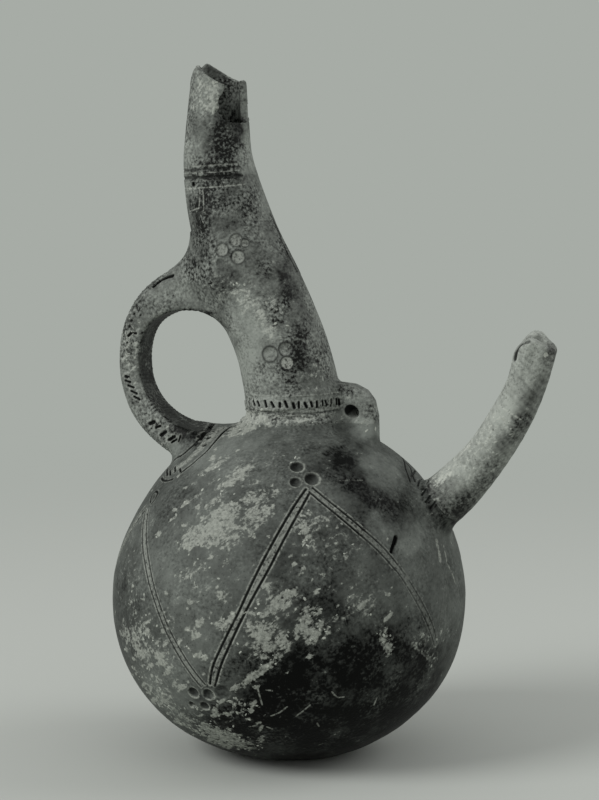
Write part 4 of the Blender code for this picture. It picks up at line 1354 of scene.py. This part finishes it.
def paintOf(places):
    rise, gap = neckSpot(places)
    isNeck = smoothStep((neckRadius(rise) + 5.0 - gap) / 3.0) * smoothStep((rise + 1.0) / 4.0)
    isHandle = smoothStep((4.0 - strapField(places)) / 3.0) * (1.0 - isNeck)
    isSpout = smoothStep((5.0 - spoutField(places)) / 4.0)
    isLug = smoothStep((2.5 - lugField(places)) / 2.0) * (1.0 - isNeck)
    along, _, under = spoutSpot(places)
    tone = np.full(len(places), tones["belly"])
    for share, key in ((isNeck, "neck"), (isHandle, "handle"), (isSpout, "spout"), (isLug, "lug")):
        tone += share * (tones[key] - tone)
    tone += isNeck * smoothStep((rise - 150.0) / 20.0) * (tones["beak"] - tone)
    tone += isSpout * tones["spoutUnder"] * smoothStep((under - 1.0) / 8.0)
    brushed = along + 5.0 * roughness(places, 7.0, 28)
    tone += isSpout * (1.0 - smoothStep((brushed - 6.0) / 16.0)) * (tones["spoutRoot"] - tone)
    streaks = np.sin((along + 0.5 * under) / 0.62 + 2.0 * cellNoise(places, 9.0, 26))
    tone += isSpout * (tones["streaks"] * streaks + tones["blotches"] * cellNoise(places, 6.0, 27))
    # Fire clouds on the sides that the photograph hides
    hidden = smoothStep((places @ viewAhead + 25.0) / 40.0)
    tone += (tones["cloud"] + tones["farCloud"] * hidden) * cellNoise(places, 46.0, 21)
    tone += tones["farSide"] * hidden
    tone += spotted(places, toneSpots) + spotted(places, rubbedSpots, 3.0)
    # Painted shade on the strap's flat inner face, turned away from the key lamp, and in the hollow of the
    # beak; both also lose their lime
    share, _, outward, _ = handleSpot(places)
    facing = smoothStep((-outward - 0.74 * strapSection(share)[2]) / 1.2)
    tone += tones["strapInsideShade"] * isHandle * facing * (places[:, 2] < 262.0)
    hollow = smoothStep((neckRadius(rise) - 3.1 - gap) / 1.0) * (rise > 60.0)
    tone += tones["mouthShade"] * hollow
    lime = spotted(places, limeSpots) + spotted(places, limeFlecks()) + 0.07
    lime -= hollow + 0.5 * isHandle * facing
    lime += hidden * 0.55 * np.clip(cellNoise(places, 38.0, 23) + 0.2 * cellNoise(places, 15.0, 24), 0.0, 1.0)
    return np.clip(tone, 0.0, 1.0), np.clip(lime, 0.0, 1.0)


def addLooks(mesh, places, looks):
    tone, lime = paintOf(places)
    for key, values in {**looks, "tone": tone, "lime": lime}.items():
        layer = mesh.attributes.new(key, "FLOAT", "POINT")
        layer.data.foreach_set("value", values.astype(np.float32))
    outside = mesh.attributes.new("outside", "FLOAT", "FACE")
    outside.data.foreach_set("value", np.ones(len(mesh.polygons), np.float32))
    normals = readAll(mesh.vertex_normals, "vector", 3)
    mesh.attributes.new("skinNormal", "FLOAT_VECTOR", "POINT").data.foreach_set("vector", normals.ravel())


addLooks(skinMesh, skinPlaces, skinLooks)
print("skin: painted")


# Hollow the vessel, then part it where the potter luted its members

def prism(name, outline, farthest=split["beside"]):
    # A block whose outline lies in the plane of neck and spout.
    near = [(x, -split["beside"], z) for x, z in outline]
    far = [(x, farthest, z) for x, z in outline]
    return ringMesh(name, [np.array(far, float), np.array(near, float)])


def slab(name, low, high, farthest=split["beside"]):
    end = split["ends"]
    return prism(name, ((-end, low), (end, low), (end, high), (-end, high)), farthest)


def booleanOf(mesh, tool, operation):
    thing, other = linked("cut", mesh), linked("tool", tool)
    change = thing.modifiers.new("cut", "BOOLEAN")
    change.operation = operation
    change.solver = "MANIFOLD"
    change.object = other
    result = resultOf(thing)
    bpy.data.objects.remove(thing)
    bpy.data.objects.remove(other)
    return result


def spoutWay():
    # The way from the belly into the spout's bore, through the shoulder's wall.
    turns = np.linspace(0.0, 2.0 * math.pi, 20, endpoint=False)
    rings = []
    for along in np.linspace(-24.0, 22.0, 8):
        tilt = spout["startTilt"] - along / spoutBend()[1]
        across = np.array([math.cos(tilt), 0.0, -math.sin(tilt)])
        ring = np.outer(np.cos(turns), across) + np.outer(np.sin(turns), (0.0, 1.0, 0.0))
        rings.append(spoutAt(along) + spout["way"] * ring)
    return ringMesh("spoutWay", rings)


def partPieces(skin):
    way = booleanOf(ringMesh("cavity", cavityRings(*finalHollow)), spoutWay(), "UNION")
    whole = booleanOf(skin, way, "DIFFERENCE")
    made = {}
    rest = whole
    for name, block in (
        ("jug_bowl", slab("low", split["under"], split["bowlTop"])),
        ("jug_handle", prism("handleBlock", split["handle"])),
        ("jug_spout", prism("spoutBlock", split["spout"])),
        ("jug_shoulder", slab("middle", split["under"], split["neckFoot"])),
        ("jug_beak", slab("top", split["beakFoot"], split["over"])),
    ):
        made[name] = booleanOf(rest, block, "INTERSECT")
        rest = booleanOf(rest, block, "DIFFERENCE")
    made["jug_neck"] = rest
    # The two largest members come in a front and a back half, to keep each mesh small
    for name in ("jug_bowl", "jug_shoulder"):
        whole = made.pop(name)
        front = slab("front", split["under"], split["over"], split["halves"])
        made[name + "_front"] = booleanOf(whole, front, "INTERSECT")
        made[name + "_back"] = booleanOf(whole, front, "DIFFERENCE")
    return made


pieceMeshes = partPieces(skinMesh)
for name, mesh in pieceMeshes.items():
    mesh.calc_loop_triangles()
    print(f"piece {name}: {len(mesh.loop_triangles)} triangles")


# Materials

def linear(text, alpha=1.0):
    # A colour written as sRGB hex, as the linear values that shaders take.
    parts = [int(text[k:k + 2], 16) / 255.0 for k in (0, 2, 4)]
    return tuple(p / 12.92 if p < 0.04045 else ((p + 0.055) / 1.055) ** 2.4 for p in parts) + (alpha,)


def node(tree, kind, feeds=None, **settings):
    # Adds a node, sets its options, and links or sets each input. A node feeds its first output.
    made = tree.nodes.new(kind)
    for key, value in settings.items():
        setattr(made, key, value)
    for key, value in (feeds or {}).items():
        if isinstance(value, bpy.types.Node):
            value = value.outputs[0]
        if isinstance(value, bpy.types.NodeSocket):
            tree.links.new(value, made.inputs[key])
        else:
            made.inputs[key].default_value = value
    return made


def emptyTree(owner):
    owner.use_nodes = True
    owner.node_tree.nodes.clear()
    return owner.node_tree


# In each finish, bed is the colour of the painted shade in groove beds, dents and pores
finishes = {
    # Dark iron-rich slip rubbed with a pebble before firing, worn and stained by lime in the ground
    "burnished_slip": {
        "dark": "070807", "grey": "80857F", "lime": "A3A79E", "bed": "090A09", "gloss": 0.45, "matt": 0.75,
        "cloud": 0.42, "mottle": 0.2, "grain": 0.34, "fleck": 0.22, "grainSize": 1.7, "limeFrom": 1.22,
        "limeSpan": 0.17, "shine": 0.08,
    },
    # The same slip half worn away, matt and mottled
    "worn_slip": {
        "dark": "121311", "grey": "959A93", "lime": "B0B4AB", "bed": "0C0D0C", "gloss": 0.55, "matt": 0.85,
        "cloud": 0.35, "mottle": 0.5, "grain": 0.95, "fleck": 0.3, "grainSize": 1.5, "limeFrom": 1.2,
        "limeSpan": 0.2, "shine": 0.15,
    },
    # Bare pale clay with rubbed remains of slip
    "pale_clay": {
        "dark": "1E1F1D", "grey": "A9AEA6", "lime": "C4C8BE", "bed": "121311", "gloss": 0.6, "matt": 0.85,
        "cloud": 0.4, "mottle": 0.4, "grain": 0.5, "fleck": 0.35, "grainSize": 1.4, "limeFrom": 1.21,
        "limeSpan": 0.15, "shine": 0.2,
    },
}


def fleckTurn():
    # Turns a pattern so that its grain slants up to the right on the front.
    slant = math.radians(38.0)
    along = viewRight * math.cos(slant) + viewUp * math.sin(slant)
    across = np.cross(viewAhead, along)
    return Matrix((along, across, viewAhead)).to_euler()


def makeFinish(name, looks):
    material = bpy.data.materials.new(name + "_clay")
    tree = emptyTree(material)
    where = node(tree, "ShaderNodeTexCoord").outputs["Object"]
    inMm = node(tree, "ShaderNodeMapping", {"Vector": where, "Scale": (1000.0, 1000.0, 1000.0)})
    turned = node(tree, "ShaderNodeMapping", {"Vector": inMm, "Rotation": fleckTurn()})
    slanted = node(tree, "ShaderNodeMapping", {"Vector": turned, "Scale": (0.58, 1.0, 0.8)})
    # Noises: the space they lie in, cells per mm, octaves and how much the small ones count
    noise = {}
    for key, space, scale, detail, rugged in (
        ("cloud", inMm, 0.045, 5.0, 0.6),
        ("grain", inMm, 1.0 / looks["grainSize"], 3.0, 0.6),
        ("fleck", slanted, 0.42, 4.0, 0.7),
        ("mottle", turned, 0.11, 4.0, 0.6),
        ("patch", turned, 0.06, 2.0, 0.5),
    ):
        feeds = {"Vector": space, "Scale": scale, "Detail": detail, "Roughness": rugged}
        noise[key] = node(tree, "ShaderNodeTexNoise", feeds)
    grainy = node(
        tree, "ShaderNodeMapRange",
        {"Value": noise["patch"], "From Min": 0.42, "From Max": 0.6, "To Min": 0.4, "To Max": 1.5},
    )
    pores = node(
        tree, "ShaderNodeTexVoronoi", {"Vector": inMm, "Scale": 0.5, "Randomness": 1.0}, feature="F1",
    )
    read = {key: node(tree, "ShaderNodeAttribute", attribute_name=key).outputs["Fac"] for key in lookKeys}
    # Wear of the slip, with the painted shade and painted reflection that the tone carries
    wearAndShade = read["tone"]
    for key in ("cloud", "mottle", "grain", "fleck"):
        centred = node(tree, "ShaderNodeMath", {0: noise[key], 1: 0.5}, operation="SUBTRACT")
        if key == "grain":
            centred = node(tree, "ShaderNodeMath", {0: centred, 1: grainy}, operation="MULTIPLY")
        wearAndShade = node(
            tree, "ShaderNodeMath", {0: centred, 1: 2.0 * looks[key], 2: wearAndShade}, operation="MULTIPLY_ADD",
        )
    wearAndShade = node(tree, "ShaderNodeClamp", {"Value": wearAndShade})
    slip = node(
        tree, "ShaderNodeMix", {"Factor": wearAndShade, "A": linear(looks["dark"]), "B": linear(looks["grey"])},
        data_type="RGBA",
    )
    # Lime crust where its mask meets the slanting flecks
    meets = node(
        tree, "ShaderNodeMath", {0: read["lime"], 1: 0.4, 2: noise["fleck"]}, operation="MULTIPLY_ADD",
    )
    for key, amount in (("cloud", 0.15), ("mottle", 0.55), ("grain", 0.35)):
        meets = node(tree, "ShaderNodeMath", {0: noise[key], 1: amount, 2: meets}, operation="MULTIPLY_ADD")
    limed = node(
        tree, "ShaderNodeMapRange",
        {"Value": meets, "From Min": looks["limeFrom"], "From Max": looks["limeFrom"] + looks["limeSpan"]},
        interpolation_type="SMOOTHSTEP",
    )
    # Chalky shoulders of the grooves, broken by the grain
    broken = node(tree, "ShaderNodeMapRange", {"Value": noise["grain"], "From Min": 0.34, "From Max": 0.55})
    pale = read["chalk"]
    for operation, other in (("MAXIMUM", read["light"]), ("MULTIPLY", broken), ("MULTIPLY", 0.82)):
        pale = node(tree, "ShaderNodeMath", {0: pale, 1: other}, operation=operation)
    veil = node(
        tree, "ShaderNodeMapRange",
        {"Value": noise["grain"], "From Min": 0.3, "From Max": 0.65, "To Min": 0.35, "To Max": 0.95},
    )
    limed = node(tree, "ShaderNodeMath", {0: limed, 1: veil}, operation="MULTIPLY")
    pale = node(tree, "ShaderNodeMath", {0: pale, 1: limed}, operation="MAXIMUM")
    coated = node(
        tree, "ShaderNodeMix", {"Factor": pale, "A": slip.outputs["Result"], "B": linear(looks["lime"])},
        data_type="RGBA",
    )
    # Painted shade: groove beds, dents and pores darken towards the bed colour
    pitted = node(
        tree, "ShaderNodeMapRange",
        {"Value": pores, "From Min": 0.06, "From Max": 0.2, "To Min": 0.55, "To Max": 0.0},
    )
    shade = node(tree, "ShaderNodeMath", {0: read["dark"], 1: pitted}, operation="MAXIMUM")
    colour = node(
        tree, "ShaderNodeMix", {"Factor": shade, "A": coated.outputs["Result"], "B": linear(looks["bed"])},
        data_type="RGBA",
    )
    rough = node(
        tree, "ShaderNodeMapRange",
        {"Value": wearAndShade, "From Min": 0.0, "From Max": 0.8, "To Min": looks["gloss"], "To Max": looks["matt"]},
    )
    rough = node(tree, "ShaderNodeMath", {0: rough, 1: pale}, operation="MAXIMUM")
    # Relief of the surface: drag marks, crust standing proud, pores
    height = noise["fleck"]
    for layer, amount in ((limed, 0.6), (noise["grain"], 0.8), (pitted, -0.6)):
        height = node(tree, "ShaderNodeMath", {0: layer, 1: amount, 2: height}, operation="MULTIPLY_ADD")
    bump = node(tree, "ShaderNodeBump", {"Height": height, "Strength": 0.6, "Distance": 0.0004})
    shader = node(
        tree, "ShaderNodeBsdfPrincipled",
        {
            "Base Color": colour.outputs["Result"], "Roughness": rough,
            "Specular IOR Level": looks["shine"], "Normal": bump,
        },
    )
    node(tree, "ShaderNodeOutputMaterial", {"Surface": shader})
    return material


materials = {name: makeFinish(name, looks) for name, looks in finishes.items()}
print("materials made")


# Finished pieces: each stands for the CAD members that it is made of

pieces = {
    "jug_bowl_front": ("burnished_slip", ("lower_bowl",)),
    "jug_bowl_back": ("burnished_slip", ("lower_bowl",)),
    "jug_shoulder_front": ("burnished_slip", ("shoulder_dome", "handle_root_band", "spout_root_roll")),
    "jug_shoulder_back": ("burnished_slip", ("shoulder_dome",)),
    "jug_neck": (
        "worn_slip", ("neck_tube", "neck_collar", "neck_foot_roll", "string_lug", "handle_top_roll"),
    ),
    "jug_beak": ("worn_slip", ("beak_mouth",)),
    "jug_handle": ("worn_slip", ("strap_handle",)),
    "jug_spout": ("pale_clay", ("side_spout",)),
}


def skinTree(mesh):
    places = readPlaces(mesh)
    tree = KDTree(len(places))
    for index, place in enumerate(places):
        tree.insert(place, index)
    tree.balance()
    return tree


def mendCuts(mesh):
    # New corners on a parting cut take their looks and shading from the skin beside them.
    normals = readAll(mesh.attributes["skinNormal"].data, "vector", 3)
    bare = np.nonzero(np.linalg.norm(normals, axis=1) < 0.5)[0]
    places = readPlaces(mesh)[bare]
    nearest = [skinNear.find_n(place, 3) for place in places]
    picks = np.array([[found[1] for found in three] for three in nearest], int).reshape(-1, 3)
    shares = np.array([[1.0 / (found[2] + 0.02) for found in three] for three in nearest]).reshape(-1, 3)
    shares /= shares.sum(1)[:, None]
    for key in lookKeys:
        source = readAll(skinMesh.attributes[key].data, "value")
        values = readAll(mesh.attributes[key].data, "value")
        values[bare] = (source[picks] * shares).sum(1)
        mesh.attributes[key].data.foreach_set("value", values)
    source = readAll(skinMesh.attributes["skinNormal"].data, "vector", 3)
    normals[bare] = (source[picks] * shares[:, :, None]).sum(1)
    mesh.attributes["skinNormal"].data.foreach_set("vector", normals.ravel())
    return len(bare)


skinNear = skinTree(skinMesh)


def finishPiece(name, mesh, slot, members):
    mesh.materials.clear()
    mesh.materials.append(materials[slot])
    mesh.shade_smooth()
    mended = mendCuts(mesh)
    # Parting and inner faces are flat; the skin keeps the shading that it had whole
    outside = readAll(mesh.attributes["outside"].data, "value") > 0.5
    totals = readAll(mesh.polygons, "loop_total", kind=np.int64)
    corners = readAll(mesh.loops, "vertex_index", kind=np.int64)
    own = readAll(mesh.attributes["skinNormal"].data, "vector", 3)[corners]
    flat = np.repeat(readAll(mesh.polygon_normals, "vector", 3), totals, axis=0)
    normals = np.where(np.repeat(outside, totals)[:, None], own, flat)
    normals /= np.maximum(np.linalg.norm(normals, axis=1), 1e-6)[:, None]
    mesh.normals_split_custom_set(normals.tolist())
    print(f"piece {name}: {outside.sum()} of {len(outside)} faces are skin, {mended} corners mended")
    mesh.attributes.remove(mesh.attributes["outside"])
    mesh.attributes.remove(mesh.attributes["skinNormal"])
    mesh.name = name
    thing = linked(name, mesh)
    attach(thing, "root")
    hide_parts(*members)


for name, (slot, members) in pieces.items():
    finishPiece(name, pieceMeshes[name], slot, members)
print("pieces placed")


# Lime crust: flakes scattered by Geometry Nodes where lime has settled, sunk in the skin by half

crust = {
    "size": 0.55,
    "perSquareMetre": 60000.0,
    "from": 0.16,
    "full": 1.0,
    "flattest": (0.7, 0.7, 0.3),
    "fullest": (2.6, 1.6, 0.6),
    "seed": 1907,
    "colour": "B4B8AE",
    "stain": "7F837C",
}


def crustMaterial():
    # Lime hardened in the ground: chalky, dull, stained grey
    material = bpy.data.materials.new("lime_crust")
    tree = emptyTree(material)
    where = node(tree, "ShaderNodeTexCoord").outputs["Object"]
    stain = node(tree, "ShaderNodeTexNoise", {"Vector": where, "Scale": 90.0, "Detail": 3.0})
    grit = node(tree, "ShaderNodeTexNoise", {"Vector": where, "Scale": 2500.0, "Detail": 2.0})
    spread = node(tree, "ShaderNodeMapRange", {"Value": stain, "From Min": 0.35, "From Max": 0.65})
    colour = node(
        tree, "ShaderNodeMix", {"Factor": spread, "A": linear(crust["stain"]), "B": linear(crust["colour"])},
        data_type="RGBA",
    )
    bump = node(tree, "ShaderNodeBump", {"Height": grit, "Strength": 0.4, "Distance": 0.0002})
    shader = node(
        tree, "ShaderNodeBsdfPrincipled",
        {
            "Base Color": colour.outputs["Result"], "Roughness": 0.9,
            "Specular IOR Level": 0.2, "Normal": bump,
        },
    )
    node(tree, "ShaderNodeOutputMaterial", {"Surface": shader})
    return material


def crustTree(material):
    tree = bpy.data.node_groups.new("lime_flakes", "GeometryNodeTree")
    inputs = {"Geometry": "Geometry", "Flake Size": "Float", "Density": "Float", "Seed": "Int"}
    for name, kind in inputs.items():
        tree.interface.new_socket(name, in_out="INPUT", socket_type="NodeSocket" + kind)
    tree.interface.new_socket("Geometry", in_out="OUTPUT", socket_type="NodeSocketGeometry")
    given = node(tree, "NodeGroupInput").outputs
    settled = node(tree, "GeometryNodeInputNamedAttribute", {"Name": "lime"}, data_type="FLOAT")
    share = node(
        tree, "ShaderNodeMapRange", {"Value": settled, "From Min": crust["from"], "From Max": crust["full"]},
    )
    density = node(tree, "ShaderNodeMath", {0: share, 1: given["Density"]}, operation="MULTIPLY")
    points = node(
        tree, "GeometryNodeDistributePointsOnFaces",
        {"Mesh": given["Geometry"], "Density": density, "Seed": given["Seed"]},
    )
    flake = node(tree, "GeometryNodeMeshIcoSphere", {"Radius": given["Flake Size"], "Subdivisions": 1})
    shapes = node(
        tree, "FunctionNodeRandomValue",
        {"Min": crust["flattest"], "Max": crust["fullest"], "Seed": given["Seed"]}, data_type="FLOAT_VECTOR",
    )
    spin = node(
        tree, "FunctionNodeRandomValue", {"Max": (0.0, 0.0, 2.0 * math.pi)}, data_type="FLOAT_VECTOR",
    )
    turned = node(
        tree, "FunctionNodeRotateRotation",
        {"Rotation": points.outputs["Rotation"], "Rotate By": spin},
        rotation_space="LOCAL",
    )
    placed = node(
        tree, "GeometryNodeInstanceOnPoints",
        {"Points": points, "Instance": flake, "Rotation": turned, "Scale": shapes},
    )
    real = node(tree, "GeometryNodeRealizeInstances", {"Geometry": placed})
    dressed = node(tree, "GeometryNodeSetMaterial", {"Geometry": real, "Material": material})
    node(tree, "NodeGroupOutput", {"Geometry": dressed})
    return tree


def makeCrust():
    material = crustMaterial()
    tree = crustTree(material)
    ground = linked("ground", skinMesh)
    scatter = ground.modifiers.new("lime_flakes", "NODES")
    scatter.node_group = tree
    values = {"Flake Size": crust["size"] * mm, "Density": crust["perSquareMetre"], "Seed": crust["seed"]}
    for item in tree.interface.items_tree:
        if item.item_type == "SOCKET" and item.in_out == "INPUT" and item.name in values:
            scatter[item.identifier] = values[item.name]
    flakes = resultOf(ground)
    ground.modifiers.remove(scatter)
    bpy.data.objects.remove(ground)
    for layer in list(flakes.attributes):
        if layer.name in lookKeys + ("outside", "skinNormal"):
            flakes.attributes.remove(layer)
    flakes.materials.clear()
    flakes.materials.append(material)
    flakes.polygons.foreach_set("material_index", [0] * len(flakes.polygons))
    flakes.name = "jug_crust"
    thing = linked("jug_crust", flakes)
    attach(thing, "root")
    print(f"crust: {len(flakes.polygons) // 20} flakes")


makeCrust()


# Camera, floor and light

def makeCamera():
    data = bpy.data.cameras.new("camera")
    data.sensor_fit = "VERTICAL"
    data.sensor_height = camera["sensor"]
    data.lens = camera["lens"]
    data.clip_end = 30.0
    thing = linked("camera", data)
    thing.location = Vector(viewPlace * mm)
    thing.rotation_euler = Matrix((viewRight, viewUp, -viewAhead)).transposed().to_euler()
    bpy.context.scene.camera = thing


studio = {
    "paper": "A7ACA6",
    "floor": "BEC2BC",
    "fill": 0.5,
    "floorRings": (0.3, 0.8, 2.0, 6.0),
    "floorSides": 64,
    "fadeFrom": 0.35,
    "fadeTo": 1.5,
    "key": {"place": (-1.75, -1.9, 1.9), "size": 1.6, "power": 51.0},
    "rim": {"place": (1.3, 0.6, 1.1), "size": 1.2, "power": 7.0},
    "aim": (0.02, 0.0, 0.18),
}


def makeFloor():
    sides = studio["floorSides"]
    turns = np.linspace(0.0, 2.0 * math.pi, sides, endpoint=False)
    shape = bmesh.new()
    rings = []
    for radius in studio["floorRings"]:
        rings.append([shape.verts.new((radius * math.cos(t), radius * math.sin(t), 0.0)) for t in turns])
    shape.faces.new(rings[0])
    for small, large in zip(rings, rings[1:]):
        for k in range(sides):
            n = (k + 1) % sides
            shape.faces.new((small[k], large[k], large[n], small[n]))
    mesh = bpy.data.meshes.new("floor")
    shape.to_mesh(mesh)
    shape.free()
    material = bpy.data.materials.new("paper_sweep")
    tree = emptyTree(material)
    where = node(tree, "ShaderNodeTexCoord").outputs["Object"]
    radius = node(tree, "ShaderNodeVectorMath", {0: where}, operation="LENGTH").outputs["Value"]
    far = node(
        tree, "ShaderNodeMapRange",
        {"Value": radius, "From Min": studio["fadeFrom"], "From Max": studio["fadeTo"]},
        interpolation_type="SMOOTHSTEP",
    )
    paper = linear(studio["paper"])
    near = node(tree, "ShaderNodeBsdfDiffuse", {"Color": linear(studio["floor"])})
    glow = node(tree, "ShaderNodeEmission", {"Color": paper})
    mixed = node(tree, "ShaderNodeMixShader", {0: far, 1: near, 2: glow})
    node(tree, "ShaderNodeOutputMaterial", {"Surface": mixed})
    mesh.materials.append(material)
    linked("floor", mesh)


def makeWorld():
    world = bpy.data.worlds.new("studio")
    bpy.context.scene.world = world
    tree = emptyTree(world)
    path = node(tree, "ShaderNodeLightPath")
    soft = node(tree, "ShaderNodeBackground", {"Color": (1.0, 1.0, 1.0, 1.0), "Strength": studio["fill"]})
    paper = node(tree, "ShaderNodeBackground", {"Color": linear(studio["paper"]), "Strength": 1.0})
    shown = node(
        tree, "ShaderNodeMath", {0: path.outputs["Is Camera Ray"], 1: path.outputs["Is Glossy Ray"]},
        operation="MAXIMUM",
    )
    mixed = node(tree, "ShaderNodeMixShader", {0: shown, 1: soft, 2: paper})
    node(tree, "ShaderNodeOutputWorld", {"Surface": mixed})


def makeLamp(name, lamp):
    data = bpy.data.lights.new(name, "AREA")
    data.shape = "DISK"
    data.size = lamp["size"]
    data.energy = lamp["power"]
    thing = linked(name, data)
    thing.location = lamp["place"]
    towards = Vector(studio["aim"]) - Vector(lamp["place"])
    thing.rotation_euler = towards.to_track_quat("-Z", "Y").to_euler()


makeCamera()
makeFloor()
makeWorld()
for lampName in ("key", "rim"):
    makeLamp(lampName, studio[lampName])
bpy.context.scene.view_settings.view_transform = "Standard"
print("studio set")
